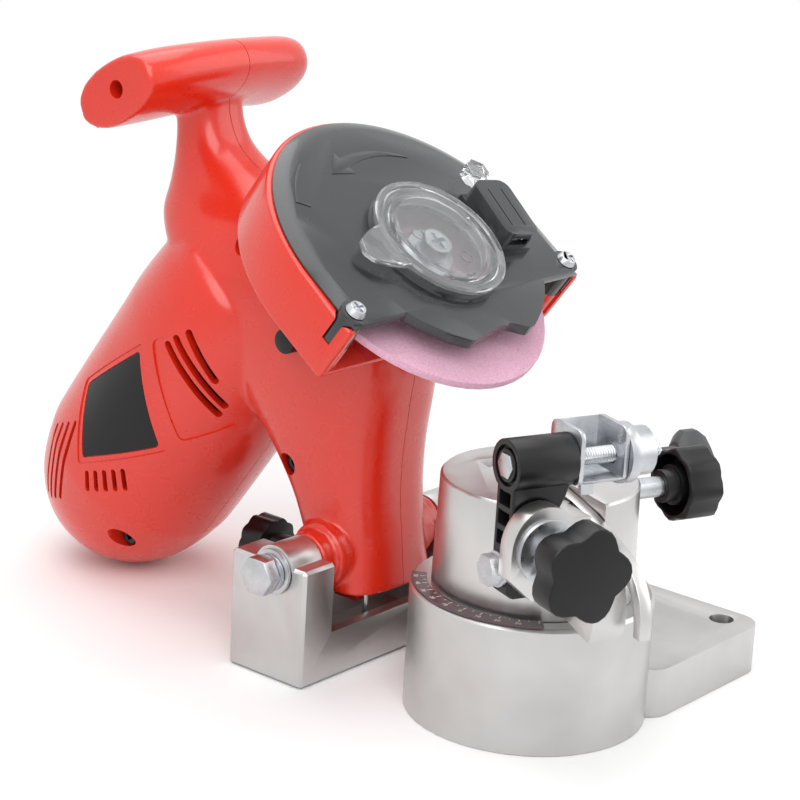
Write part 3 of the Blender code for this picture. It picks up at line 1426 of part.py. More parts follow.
def clear_cap(shop, spindle):
    under = PLATEAU_FACE + GAP
    flange = under + CAP_FLANGE_T
    top = flange + CAP_RISE - CAP_FLANGE_T
    skirt = CAP_HOLE_R - 2 * GAP
    profile = [
        (0, top),
        (CAP_R - CAP_WALL, top),
        (CAP_R, top - CAP_WALL / 2),
        (CAP_R, flange),
        (CAP_FLANGE_R, flange),
        (CAP_FLANGE_R, under),
        (skirt, under),
        (skirt, under - PLATEAU_H),
        (skirt - CAP_WALL, under - PLATEAU_H),
        (skirt - CAP_WALL, top - CAP_WALL),
        (0, top - CAP_WALL),
    ]
    axis = shop.frame("cap_axis", (0, 0, 0), (0, 0, 0), spindle)
    cap = turned(shop, "clear_cap", profile, axis, "clear", 36)
    outline = corner_outline(-CAP_TAB_OUT, -CAP_FLANGE_R * 0.9, -CAP_TAB_HALF / 2, CAP_TAB_HALF * 1.5,
                             OVERRUN)
    tab = prism(shop, "cap_tab", outline, under, flange - GAP / 3, "Z", axis)
    grip = box(
        shop, "cap_grip", (-CAP_TAB_OUT * 0.93, 0, flange - GAP), (-CAP_TAB_OUT * 0.87, CAP_TAB_HALF, top),
        axis
    )
    join(tab, grip)
    join(cap, settle(tab))
    return settle(cap)


def cover_screws(shop, spindle):
    seat = PLATE_FACE + GAP
    for side, word in ((-1, "left"), (1, "right")):
        centre = (side * COVER_SCREW_X, COVER_SCREW_Y, 0)
        screw = rod(
            shop, "cover_screw_" + word, COVER_SCREW_R, seat, seat + COVER_SCREW_H, centre, "Z", spindle,
            "steel",
            20, COVER_SCREW_R * 0.75,
        )
        shank = rod(
            shop, "cover_screw_shank", COVER_SCREW_SHANK_R, seat - COVER_SCREW_LENGTH, seat + GAP, centre,
            "Z", spindle
        )
        join(screw, shank)
        settle(screw)
        cross_slot(shop, screw, COVER_SCREW_R, seat + COVER_SCREW_H, centre, spindle)


def buttons(shop, base, spindle):
    trigger_box(shop, "trigger", base, 0, "black")
    lock_button_rod(shop, "spindle_lock_button", LOCK_R, LOCK_FACE, LOCK_FACE + LOCK_LENGTH, spindle,
                    "black")


# Turning vise


def turntable_drum(shop, table):
    bottom = BASE_H + GAP
    roof = DRUM_TOP - DRUM_ROOF
    bore = POST_R + GAP
    profile = [
        (0, DRUM_TOP),
        (DRUM_TOP_R - DRUM_EDGE, DRUM_TOP),
        (DRUM_TOP_R, DRUM_TOP - DRUM_EDGE),
        (DRUM_FOOT_R, bottom),
        (DRUM_FOOT_R - DRUM_WALL, bottom),
        (DRUM_FOOT_R - DRUM_WALL, roof),
        (DRUM_SLEEVE_R, roof),
        (DRUM_SLEEVE_R, DRUM_SLEEVE_FROM),
        (bore, DRUM_SLEEVE_FROM),
        (bore, roof),
        (0, roof),
    ]
    drum = turned(shop, "vise_drum", profile, table, "cast", 48)
    right = MOVING_JAW_T + GAP
    front = JAW_REACH
    cut(
        drum,
        box(shop, "channel", (-CHANNEL_LEFT, -front, CHANNEL_FLOOR),
            (right, CHANNEL_BACK, DRUM_TOP + OVERRUN), table),
        box(
            shop, "jaw_room", (-JAW_FACE, -front, JAW_ROOM_FLOOR),
            (right, -JAW_ROOM_FROM, DRUM_TOP + OVERRUN), table
        ),
    )
    settle(drum)
    join(drum, fixed_jaw(shop, table))
    settle(drum)
    join(drum, arm_boss(shop, table), stop_block(shop, table))
    settle(drum)
    drum_bores(shop, drum, table)
    return settle(drum)


def fixed_jaw(shop, table):
    outline = [(JAW_REACH * a, JAW_TIP_Z + JAW_HEIGHT * b) for a, b in FIXED_JAW_SHARES]
    return prism(shop, "fixed_jaw", side_view(outline), -JAW_LEFT, -JAW_FACE, "X", table)


def arm_boss(shop, table):
    centre = (0, -ARM_Y, ARM_PIVOT_Z)
    start = -ARM_LEFT + ARM_FOOT_W + GAP
    return rod(shop, "arm_boss", ARM_BOLT_R * 2, start, -JAW_LEFT + OVERRUN, centre, "X", table)


def stop_block(shop, table):
    radius = STAR_WASHER_R + OVERRUN
    outline = []
    for i in range(15):
        angle = math.radians(20 + 160 * i / 14)
        outline.append((-STAR_X + radius * math.cos(angle), STAR_Z + radius * 1.15 * math.sin(angle)))
    outline += [(-STAR_X - radius, BLOCK_LOW + 3 * OVERRUN), (-STAR_X - radius / 3, BLOCK_LOW - OVERRUN)]
    outline += [(-JAW_LEFT + OVERRUN, BLOCK_LOW - 2 * OVERRUN), (-JAW_LEFT + OVERRUN, ARM_PIVOT_Z + OVERRUN)]
    return prism(shop, "stop_block", front_view(outline), -BLOCK_BACK - BLOCK_T, -BLOCK_BACK, "Y", table)


def drum_bores(shop, drum, table):
    stud = LOCK_STUD_R + GAP
    shaft = LEVER_SHAFT_R + GAP
    reach = DRUM_FOOT_R + OVERRUN
    star = (-STAR_X, 0, STAR_Z)
    cut(
        drum,
        rod(shop, "stud_bore", stud, POST_R / 2, reach, (0, 0, LOCK_STUD_Z), "X", table),
        rod(shop, "lever_bore", shaft, MOVING_JAW_T, reach, (0, LEVER_Y, LEVER_Z), "X", table, steps=12),
        rod(
            shop, "cam_room", CLAMP_CAM_R + GAP, MOVING_JAW_T - GAP, CLAMP_CAM_END + GAP,
            (0, LEVER_Y, LEVER_Z), "X",
            table, steps=24,
        ),
        rod(shop, "arm_bolt_bore", ARM_BOLT_R + GAP, -ARM_LEFT, -JAW_LEFT, (0, -ARM_Y, ARM_PIVOT_Z), "X",
            table),
        rod(
            shop, "star_bore", STAR_SCREW_R + GAP, -BLOCK_BACK - 2 * BLOCK_T, -ARM_Y, star, "Y", table
        ),
    )
    return drum


def moving_jaw(shop, table):
    outline = [(JAW_REACH * a, JAW_TIP_Z + JAW_HEIGHT * b) for a, b in MOVING_JAW_SHARES]
    return prism(shop, "moving_jaw", side_view(outline), 0, MOVING_JAW_T, "X", table, "cast")


def angle_lock(shop, table):
    axis = shop.frame("angle_lock_axis", (0, 0, LOCK_STUD_Z), (0, 0, 0), table)
    centre = (0, 0, 0)
    face = LOCK_KNOB_FROM + LOCK_HUB_H
    back = face + LOCK_KNOB_T
    stud_end = back - 3 * OVERRUN
    profile = [
        (0, stud_end),
        (LOCK_STUD_R, stud_end),
        (LOCK_STUD_R, LOCK_STUD_STEP),
        (LOCK_STUD_TIP_R, LOCK_STUD_STEP),
        (LOCK_STUD_TIP_R, LOCK_STUD_TIP),
        (0, LOCK_STUD_TIP),
    ]
    turned(shop, "angle_lock_stud", profile, axis, "steel", 20, False, centre, "X")
    outline = lobed(LOCK_KNOB_R, LOCK_KNOB_R - OVERRUN * 0.6, LOCK_LOBES, 4)
    knob = prism(shop, "angle_lock_knob", outline, face, back, "X", axis, "black")
    bevel(knob, OVERRUN / 3)
    settle(knob)
    join(knob, rod(shop, "knob_hub", LOCK_HUB_R, LOCK_KNOB_FROM, face + LOCK_RECESS_DEPTH + GAP, centre, "X",
                   axis))
    recess = ring(
        shop, "knob_recess", LOCK_RECESS_OUT, LOCK_RECESS_IN, face - OVERRUN, face + LOCK_RECESS_DEPTH, axis,
        None,
        centre, "X", 28,
    )
    cut(knob, recess)
    settle(knob)
    cut(knob, rod(shop, "knob_bore", LOCK_STUD_R + GAP, 0, stud_end + GAP, centre, "X", axis, steps=20))
    return settle(knob)


def clamp_lever(shop, table):
    """The lever whose shaft end presses the moving jaw shut."""
    axis = shop.frame("clamp_axis", (0, LEVER_Y, LEVER_Z), (0, 0, 0), table)
    centre = (0, 0, 0)
    hub_end = LEVER_HUB_FROM + LEVER_HUB_T
    lever = rod(shop, "clamp_lever", LEVER_HUB_R, LEVER_HUB_FROM, hub_end, centre, "X", axis, "grey", 20)
    collar_from = DRUM_FOOT_R + OVERRUN / 2
    join(lever, rod(shop, "lever_shaft", LEVER_SHAFT_R, MOVING_JAW_T + GAP, collar_from + GAP, centre, "X",
                    axis, steps=12))
    join(lever, rod(shop, "lever_collar", LEVER_COLLAR_R, collar_from, LEVER_HUB_FROM + GAP, centre, "X",
                    axis))
    cam_from = MOVING_JAW_T + GAP
    join(lever, rod(shop, "clamp_cam", CLAMP_CAM_R, cam_from, CLAMP_CAM_END, centre, "X", axis, steps=24))
    settle(lever)
    wing_from = hub_end - OVERRUN
    rings = []
    c, s = math.cos(LEVER_TILT), math.sin(LEVER_TILT)
    for along, size in ((0.0, 0.72), (0.3, 1.0), (0.75, 1.0), (1.0, 0.8)):
        x = wing_from + LEVER_WING_T * along
        row = []
        for a, b in rounded(LEVER_WING_HALF * size, LEVER_WING_THICK * size, WING_STEPS, WING_SQUARENESS):
            a += LEVER_WING_SHIFT
            forward, up = a * c - b * s, a * s + b * c
            row.append((x, -forward, up))
        rings.append(row)
    join(lever, loft(shop, "lever_wing", rings, axis))
    return settle(lever)


# Chain stop on the vise


def arm_outline():
    left = -ARM_LEFT
    right = left + BOSS_W
    foot = left + ARM_FOOT_W
    return [
        (left, BOSS_Z),
        (left, ARM_FOOT_LOW + OVERRUN),
        (left + OVERRUN, ARM_FOOT_LOW),
        (foot - GAP, ARM_FOOT_LOW),
        (foot, ARM_PIVOT_Z + 5 * OVERRUN),
        (foot + 2 * OVERRUN, ARM_PIVOT_Z + 8 * OVERRUN),
        (right - OVERRUN, BOSS_Z - BOSS_R - OVERRUN),
        (right, BOSS_Z - BOSS_R / 2),
        (right, BOSS_Z),
    ]


def arm_frame(shop, table):
    return shop.frame("arm_axis", (0, -ARM_Y, ARM_PIVOT_Z), (0, 0, 0), table)


def stop_arm(shop, arm):
    lift = ARM_PIVOT_Z
    half = ARM_THICK / 2
    left = -ARM_LEFT
    outline = [(x, z - lift) for x, z in arm_outline()]
    body = prism(shop, "stop_arm", front_view(outline), -half, half, "Y", arm, "black")
    settle(bevel(body, GAP * 2))
    boss_centre = (0, 0, BOSS_Z - lift)
    join(body, rod(shop, "arm_boss_top", BOSS_R, left - GAP, left + BOSS_W + GAP, boss_centre, "X", arm,
                   steps=28))
    settle(body)
    pocket_half = half - ARM_RIB
    low = ARM_BOLT_FLANGE_R + ARM_RIB
    high = BOSS_Z - lift - BOSS_R + ARM_RIB
    rows = 3
    step = (high - low) / rows
    for i in range(rows):
        start = low + step * i
        cut(
            body,
            box(
                shop, "arm_pocket", (left - OVERRUN, -pocket_half, start), (left + ARM_POCKET, pocket_half,
                                                                             start + step - ARM_RIB), arm
            ),
        )
    cut(
        body,
        ring(
            shop, "boss_recess", BOSS_R - ARM_RIB, CROSS_HEAD_R + ARM_RIB / 2, left - OVERRUN,
            left + ARM_POCKET / 3, arm,
            None, boss_centre, "X", 24,
        ),
        rod(shop, "cross_bore", CROSS_BOLT_R + GAP, 2 * left, ARM_LEFT, boss_centre, "X", arm),
        rod(shop, "pivot_bore", ARM_BOLT_R + GAP, 2 * left, ARM_LEFT, (0, 0, 0), "X", arm),
    )
    return settle(body)


def arm_bolt(shop, table):
    centre = (0, -ARM_Y, ARM_PIVOT_Z)
    seat = -ARM_LEFT - GAP
    flange = (ARM_BOLT_FLANGE_R, seat - ARM_BOLT_FLANGE_T, seat)
    hex_bolt(
        shop, "arm_pivot_bolt", ARM_BOLT_HEAD_R, seat - ARM_BOLT_HEAD_T, seat - GAP, ARM_BOLT_R,
        -JAW_LEFT - GAP, centre, "X", table, "steel", flange,
    )


def cross_bolt(shop, arm):
    centre = (0, 0, BOSS_Z - ARM_PIVOT_Z)
    seat = -ARM_LEFT - 2 * GAP
    hex_bolt(
        shop, "cross_bolt", CROSS_HEAD_R, seat - CROSS_HEAD_T, seat, CROSS_BOLT_R, CROSS_BOLT_END, centre,
        "X", arm,
        "steel",
    )
    start = -ARM_LEFT + BOSS_W + 2 * GAP + PAWL_W + GAP
    body = rod(shop, "cross_nut", NUT_R, start, start + ROUND_NUT_T, centre, "X", arm, "steel", 24)
    join(body, rod(shop, "nut_collar", NUT_COLLAR_R, start, start + NUT_COLLAR_T, centre, "X", arm,
                   steps=24))
    settle(body)
    cut(body, rod(shop, "nut_bore", CROSS_BOLT_R + GAP, start - OVERRUN, 2 * ARM_LEFT, centre, "X", arm))
    settle(body)


def chain_stop(shop, arm):
    """The folded sheet pawl on the cross bolt, open to the front, with its tongue over the chain."""
    lift = BOSS_Z - ARM_PIVOT_Z
    pawl = shop.frame("pawl_axis", (0, 0, lift), (0, 0, 0), arm)
    start = -ARM_LEFT + BOSS_W + 2 * GAP
    end = start + PAWL_W
    low, high = PAWL_LOW - BOSS_Z, PAWL_HIGH - BOSS_Z
    outline = corner_outline(-PAWL_BACK, PAWL_FRONT, low, high, OVERRUN * 1.5)
    body = prism(shop, "chain_stop", side_view(outline), start, end, "X", pawl, "steel")
    inner = (start + PAWL_SHEET, -PAWL_FRONT - OVERRUN, low + PAWL_SHEET)
    cut(body, box(shop, "pawl_inside", inner, (end - PAWL_SHEET, PAWL_BACK - PAWL_SHEET, high + OVERRUN),
                  pawl))
    settle(body)
    middle = -JAW_FACE / 2
    tongue = [
        (-PAWL_BACK + OVERRUN / 4, low + PAWL_SHEET * 0.8),
        (-PAWL_BACK + OVERRUN / 4 + PAWL_SHEET, low + PAWL_SHEET * 0.8),
        (-PAWL_BACK + PAWL_SHEET * 2, TONGUE_LOW - BOSS_Z),
        (-PAWL_BACK + PAWL_SHEET * 0.8, TONGUE_LOW - BOSS_Z),
    ]
    join(body, prism(shop, "tongue", side_view(tongue), middle - TONGUE_W / 2, middle + TONGUE_W / 2, "X",
                     pawl))
    settle(body)
    cut(body, rod(shop, "pawl_bore", CROSS_BOLT_R + GAP, start - OVERRUN, end + OVERRUN, (0, 0, 0), "X",
                  pawl))
    return settle(body)


def star_knob(shop, table):
    centre = (0, 0, 0)
    axis = shop.frame("star_axis", (-STAR_X, 0, STAR_Z), (0, 0, 0), table)
    face = -BLOCK_BACK - BLOCK_T - GAP
    washer = rod(shop, "stop_washer", STAR_WASHER_R, face - STAR_WASHER_T, face, centre, "Y", axis, "steel",
                 32)
    cut(washer, rod(shop, "washer_bore", STAR_SCREW_R + GAP, 2 * face, 0, centre, "Y", axis, steps=20))
    settle(washer)
    tip = -ARM_Y - ARM_THICK / 2 - GAP
    knob_back = -STAR_KNOB_FROM
    screw_end = knob_back - STAR_KNOB_T * 0.6
    rod(shop, "stop_screw", STAR_SCREW_R, screw_end, tip, centre, "Y", axis, "steel", 20)
    outline = lobed(STAR_KNOB_R, STAR_KNOB_WAIST, STAR_LOBES, 8)
    knob = prism(shop, "star_knob", outline, knob_back - STAR_KNOB_T, knob_back, "Y", axis, "black")
    settle(bevel(knob, OVERRUN / 2))
    cut(knob, rod(shop, "star_bore", STAR_SCREW_R + GAP, screw_end - GAP, 0, centre, "Y", axis, steps=20))
    settle(knob)


def main():
    clear_scene()
    shop = Shop()
    base_casting(shop)
    scale_plate(shop)
    pivot_hardware(shop)
    depth_stop(shop)
    head = shop.frame("head_pivot", (0, PIVOT_Y, PIVOT_Z))
    base = shop.frame("head_base", (0, -PIVOT_Y, -PIVOT_Z), (0, 0, 0), head)
    spindle = shop.frame("spindle_frame", (0, WHEEL_Y, WHEEL_Z), (WHEEL_TILT, 0, 0), base)
    return_spring(shop, head)
    housing(shop, base, spindle)
    housing_screws(shop, base)
    rating_plate(shop, spindle)
    motor(shop, spindle)
    spindle_set(shop, spindle)
    guard_cover(shop, spindle)
    clear_cap(shop, spindle)
    cover_screws(shop, spindle)
    buttons(shop, base, spindle)
    table = shop.frame("turntable", (0, 0, 0), (0, 0, VISE_ANGLE))
    turntable_drum(shop, table)
    moving_jaw(shop, table)
    angle_lock(shop, table)
    clamp_lever(shop, table)
    arm = arm_frame(shop, table)
    stop_arm(shop, arm)
    arm_bolt(shop, table)
    cross_bolt(shop, arm)
    chain_stop(shop, arm)
    star_knob(shop, table)
    for curve in list(bpy.data.curves):
        bpy.data.curves.remove(curve)


if __name__ == "__main__":
    main()
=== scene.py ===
"""Looks of a bench chainsaw sharpener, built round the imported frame.

World frame: origin under the vise's axis on the bench, +X the operator's right, -Y the operator, +Z up.
Pieces of the grinding head are laid out in the wheel's frame, Z along its spindle out of the guard, and
pieces of the vise in the turntable's frame, X to the right of the chain. All lengths are in metres.
"""

import dataclasses
import enum
import json
import logging
import math
from typing import Callable

import bpy
from mathutils import Matrix, Vector


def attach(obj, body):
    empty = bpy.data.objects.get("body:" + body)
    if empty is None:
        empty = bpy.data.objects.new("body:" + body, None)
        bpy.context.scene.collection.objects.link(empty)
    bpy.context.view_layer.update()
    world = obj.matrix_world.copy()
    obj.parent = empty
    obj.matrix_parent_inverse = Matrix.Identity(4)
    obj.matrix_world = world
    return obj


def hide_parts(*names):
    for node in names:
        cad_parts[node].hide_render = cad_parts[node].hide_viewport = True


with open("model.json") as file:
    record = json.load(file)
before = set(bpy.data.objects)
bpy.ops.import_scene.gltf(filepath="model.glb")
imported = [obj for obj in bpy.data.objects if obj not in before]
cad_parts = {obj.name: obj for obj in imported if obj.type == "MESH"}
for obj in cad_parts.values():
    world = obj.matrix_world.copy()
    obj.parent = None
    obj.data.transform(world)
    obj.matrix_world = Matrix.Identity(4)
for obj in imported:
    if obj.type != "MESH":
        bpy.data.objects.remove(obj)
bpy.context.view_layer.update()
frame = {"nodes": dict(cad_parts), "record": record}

LOG = logging.getLogger("sharpener")
MM = 0.001
WHEEL_FRAME = Matrix.Translation((0.0, 0.0615, 0.148)) @ Matrix.Rotation(math.radians(36), 4, "X")
TABLE_FRAME = Matrix.Rotation(math.radians(-22), 4, "Z")
MOTOR_Y = 47.0 * MM
BARREL_R = 41.0 * MM
SCREW_X = 59.5 * MM
SCREW_Y = -19.0 * MM
POST_R = 5.2 * MM
WINDOW_R = 20.5 * MM
GUARD_R = 65.0 * MM
SPINDLE_ROOM_R = 11.3 * MM
COVER_FACE = 13.6 * MM
MERGE = 0.01 * MM
FLAT_ANGLE = 0.6
SCREW_FRAMES = [WHEEL_FRAME @ Matrix.Translation((x, SCREW_Y, 0)) for x in (-SCREW_X, SCREW_X)]
LATCH_FRAME = WHEEL_FRAME @ Matrix.Translation((0.0365, 0.003, 0)) @ Matrix.Rotation(math.radians(-9.5), 4,
                                                                                     "Z")

Outline = list[tuple[float, float]]
Placer = Callable[[float, float], Vector]


# Finishes


def linear(hex_colour: str) -> tuple[float, float, float, float]:
    """Turns an sRGB colour into a linear one.

    Args:
        hex_colour: Six hex digits, with or without a leading hash.

    Returns:
        Red, green, blue and an alpha of one.
    """
    digits = hex_colour.lstrip("#")
    values = [int(digits[i : i + 2], 16) / 255 for i in (0, 2, 4)]
    return (*(v / 12.92 if v <= 0.04045 else ((v + 0.055) / 1.055) ** 2.4 for v in values), 1.0)


def add_node(tree: bpy.types.NodeTree, kind: str, settings: dict | None = None,
             **inputs: object) -> bpy.types.Node:
    """Adds one shader node.

    Args:
        tree: The node tree that gets it.
        kind: The node's type name.
        settings: Attributes to set on the node.
        **inputs: Input names, spaces written as underscores, with a value or an output socket each.

    Returns:
        The new node.
    """
    node = tree.nodes.new(kind)
    for key, value in (settings or {}).items():
        setattr(node, key, value)
    for key, value in inputs.items():
        socket = node.inputs[key.replace("_", " ")]
        if isinstance(value, bpy.types.NodeSocket):
            tree.links.new(value, socket)
        else:
            socket.default_value = value
    return node


def maths(tree: bpy.types.NodeTree, operation: str, first: bpy.types.NodeSocket,
          second: object) -> bpy.types.NodeSocket:
    """Adds a maths node.

    Args:
        tree: The node tree that gets it.
        operation: What it does.
        first: Its first value.
        second: Its second value, a number or a socket.

    Returns:
        The result.
    """
    node = add_node(tree, "ShaderNodeMath", {"operation": operation})
    tree.links.new(first, node.inputs[0])
    if isinstance(second, bpy.types.NodeSocket):
        tree.links.new(second, node.inputs[1])
    else:
        node.inputs[1].default_value = second
    return node.outputs[0]


@dataclasses.dataclass(frozen=True)
class Finish:
    """What every finish shares: its name, its colour and the size of its grain.

    Attributes:
        name: The material's name, for what it is and how its surface was made.
        colour: The main colour, sRGB hex.
        shade: The colour it drifts to over the surface.
        roughness: The mean roughness.
        grain: The size of the finest grain, in metres.
        relief: The height of that grain.
    """

    name: str
    colour: str
    shade: str
    roughness: float
    grain: float
    relief: float

    def begin(self) -> tuple[bpy.types.Material, bpy.types.NodeTree, bpy.types.Node, bpy.types.NodeSocket]:
        """Makes the empty material with its shader.

        Returns:
            The material, its tree, its shader and the object's coordinates.
        """
        material = bpy.data.materials.new(self.name)
        material.use_nodes = True
        tree = material.node_tree
        place = add_node(tree, "ShaderNodeTexCoord").outputs["Object"]
        return material, tree, tree.nodes["Principled BSDF"], place

    def noise(self, tree: bpy.types.NodeTree, place: bpy.types.NodeSocket, size: float,
              detail: float = 3.0) -> bpy.types.NodeSocket:
        """Adds noise with features of the given size.

        Args:
            tree: The material's tree.
            place: The coordinates to read.
            size: The size of a feature, in metres.
            detail: How many finer layers it holds.

        Returns:
            The noise's value.
        """
        return add_node(tree, "ShaderNodeTexNoise", None, Vector=place, Scale=1 / size,
                        Detail=detail).outputs[0]

    def drift(self, tree: bpy.types.NodeTree, place: bpy.types.NodeSocket,
              size: float) -> bpy.types.NodeSocket:
        """Adds a slow drift from the colour to the shade.

        Args:
            tree: The material's tree.
            place: The coordinates to read.
            size: The size of a patch, in metres.

        Returns:
            The mixed colour.
        """
        ramp = add_node(tree, "ShaderNodeValToRGB", None, Fac=self.noise(tree, place, size, 2.0))
        low, high = ramp.color_ramp.elements
        low.position, low.color = 0.3, linear(self.colour)
        high.position, high.color = 0.75, linear(self.shade)
        return ramp.outputs["Color"]

    def rough(self, tree: bpy.types.NodeTree, place: bpy.types.NodeSocket, size: float,
              spread: float) -> bpy.types.NodeSocket:
        """Adds roughness that varies over the surface.

        Args:
            tree: The material's tree.
            place: The coordinates to read.
            size: The size of a patch, in metres.
            spread: How far it strays from the mean.

        Returns:
            The roughness.
        """
        span = add_node(
            tree, "ShaderNodeMapRange", None, Value=self.noise(tree, place, size), From_Min=0.3,
            From_Max=0.7,
            To_Min=self.roughness - spread, To_Max=self.roughness + spread,
        )
        return span.outputs[0]

    def relieve(self, tree: bpy.types.NodeTree, shader: bpy.types.Node,
                height: bpy.types.NodeSocket) -> None:
        """Gives the shader a relief from a height.

        Args:
            tree: The material's tree.
            shader: The shader whose normal it sets.
            height: The height, where one is the finish's relief.
        """
        bump = add_node(tree, "ShaderNodeBump", None, Height=height, Strength=1.0, Distance=self.relief)
        tree.links.new(bump.outputs["Normal"], shader.inputs["Normal"])

    def material(self) -> bpy.types.Material:
        """Makes the material; each kind of finish has its own."""
        raise NotImplementedError


@dataclasses.dataclass(frozen=True)
class Moulded(Finish):
    """A moulded plastic: an even colour, a tool's fine texture and a soft gloss.

    Attributes:
        coat: How much of a second, smoother gloss lies over it.
        shine: How strongly it mirrors, where one half is a plain plastic.
    """

    coat: float = 0.0
    shine: float = 0.5

    def material(self) -> bpy.types.Material:
        """Makes the plastic's material."""
        material, tree, shader, place = self.begin()
        tree.links.new(self.drift(tree, place, 60 * MM), shader.inputs["Base Color"])
        tree.links.new(self.rough(tree, place, 9 * MM, 0.02), shader.inputs["Roughness"])
        shader.inputs["IOR"].default_value = 1.53
        shader.inputs["Specular IOR Level"].default_value = self.shine
        shader.inputs["Coat Weight"].default_value = self.coat
        shader.inputs["Coat Roughness"].default_value = 0.08
        self.relieve(tree, shader, self.noise(tree, place, self.grain, 2.0))
        return material


@dataclasses.dataclass(frozen=True)
class Cast(Finish):
    """A die-cast metal: blasted skin with fine pits and faint flow clouds."""

    def material(self) -> bpy.types.Material:
        """Makes the casting's material."""
        material, tree, shader, place = self.begin()
        fine = self.noise(tree, place, self.grain, 4.0)
        pits = add_node(tree, "ShaderNodeTexVoronoi", None, Vector=place, Scale=1 / (self.grain * 2.4))
        speck = add_node(
            tree, "ShaderNodeMapRange", None, Value=pits.outputs["Distance"], From_Min=0.0, From_Max=0.35,
            To_Min=0.0,
            To_Max=1.0,
        )
        tree.links.new(self.drift(tree, place, 24 * MM), shader.inputs["Base Color"])
        tree.links.new(self.rough(tree, place, 14 * MM, 0.05), shader.inputs["Roughness"])
        shader.inputs["Metallic"].default_value = 1.0
        self.relieve(tree, shader, maths(tree, "ADD", fine, speck.outputs[0]))
        return material


@dataclasses.dataclass(frozen=True)
class Plated(Finish):
    """A turned or pressed steel under bright zinc: fine tool lines and a cool bloom.

    Attributes:
        lines: How strongly the tool lines show, from 0 to 1.
    """

    lines: float = 0.4

    def material(self) -> bpy.types.Material:
        """Makes the plated steel's material."""
        material, tree, shader, place = self.begin()
        stretched = add_node(tree, "ShaderNodeMapping", None, Vector=place, Scale=(1.0, 1.0, 6.0))
        line = self.noise(tree, stretched.outputs[0], self.grain, 3.0)
        tree.links.new(self.drift(tree, place, 6 * MM), shader.inputs["Base Color"])
        tree.links.new(self.rough(tree, place, 2.5 * MM, 0.07), shader.inputs["Roughness"])
        shader.inputs["Metallic"].default_value = 1.0
        self.relieve(tree, shader, maths(tree, "MULTIPLY", line, self.lines))
        return material


@dataclasses.dataclass(frozen=True)
class Grit(Finish):
    """A vitrified abrasive: packed grains of many tints with open pores between them, the pores given
    painted shade.

    Attributes:
        pore: The painted shade down in the open pores, laid on as a dark colour.
    """

    pore: str = "#7d4a5a"

    def material(self) -> bpy.types.Material:
        """Makes the grinding wheel's material."""
        material, tree, shader, place = self.begin()
        grains = add_node(tree, "ShaderNodeTexVoronoi", None, Vector=place, Scale=1 / self.grain)
        tint = add_node(tree, "ShaderNodeValToRGB", None, Fac=self.noise(tree, place, self.grain * 1.3, 4.0))
        low, high = tint.color_ramp.elements
        low.position, low.color = 0.32, linear(self.colour)
        high.position, high.color = 0.68, linear(self.shade)
        # Mask of the open pores, where painted shade is laid on as a dark colour.
        pore = add_node(
            tree, "ShaderNodeMapRange", None, Value=self.noise(tree, place, self.grain * 2.2, 3.0),
            From_Min=0.68,
            From_Max=0.80,
        )
        colour = add_node(tree, "ShaderNodeMix", {"data_type": "RGBA"})
        tree.links.new(pore.outputs[0], colour.inputs[0])
        tree.links.new(tint.outputs["Color"], colour.inputs[6])
        colour.inputs[7].default_value = linear(self.pore)
        tree.links.new(colour.outputs[2], shader.inputs["Base Color"])
        shader.inputs["Roughness"].default_value = self.roughness
        shader.inputs["Specular IOR Level"].default_value = 0.3
        self.relieve(tree, shader, grains.outputs["Distance"])
        return material


@dataclasses.dataclass(frozen=True)
class Clear(Finish):
    """A clear moulded plastic with a faint ripple and a trace of haze.

    Attributes:
        clearness: How much of the light goes through, from 0 to 1.
    """

    clearness: float = 1.0

    def material(self) -> bpy.types.Material:
        """Makes the clear plastic's material."""
        material, tree, shader, place = self.begin()
        tree.links.new(self.drift(tree, place, 20 * MM), shader.inputs["Base Color"])
        tree.links.new(self.rough(tree, place, 5 * MM, 0.02), shader.inputs["Roughness"])
        shader.inputs["IOR"].default_value = 1.49
        shader.inputs["Transmission Weight"].default_value = self.clearness
        self.relieve(tree, shader, self.noise(tree, place, self.grain, 1.0))
        return material


@dataclasses.dataclass(frozen=True)
class Laminated(Finish):
    """Stacked iron sheets: fine rings along the motor's axis."""

    def material(self) -> bpy.types.Material:
        """Makes the laminated core's material."""
        material, tree, shader, place = self.begin()
        turned = add_node(tree, "ShaderNodeMapping", None, Vector=place,
                          Rotation=(math.radians(-36), 0.0, 0.0))
        wave = add_node(
            tree, "ShaderNodeTexWave", {"wave_type": "BANDS", "bands_direction": "Z"},
            Vector=turned.outputs[0],
            Scale=0.16 / self.grain, Distortion=0.0,
        )
        tree.links.new(self.drift(tree, place, 10 * MM), shader.inputs["Base Color"])
        tree.links.new(self.rough(tree, place, 6 * MM, 0.05), shader.inputs["Roughness"])
        shader.inputs["Metallic"].default_value = 1.0
        self.relieve(tree, shader, wave.outputs["Fac"])
        return material


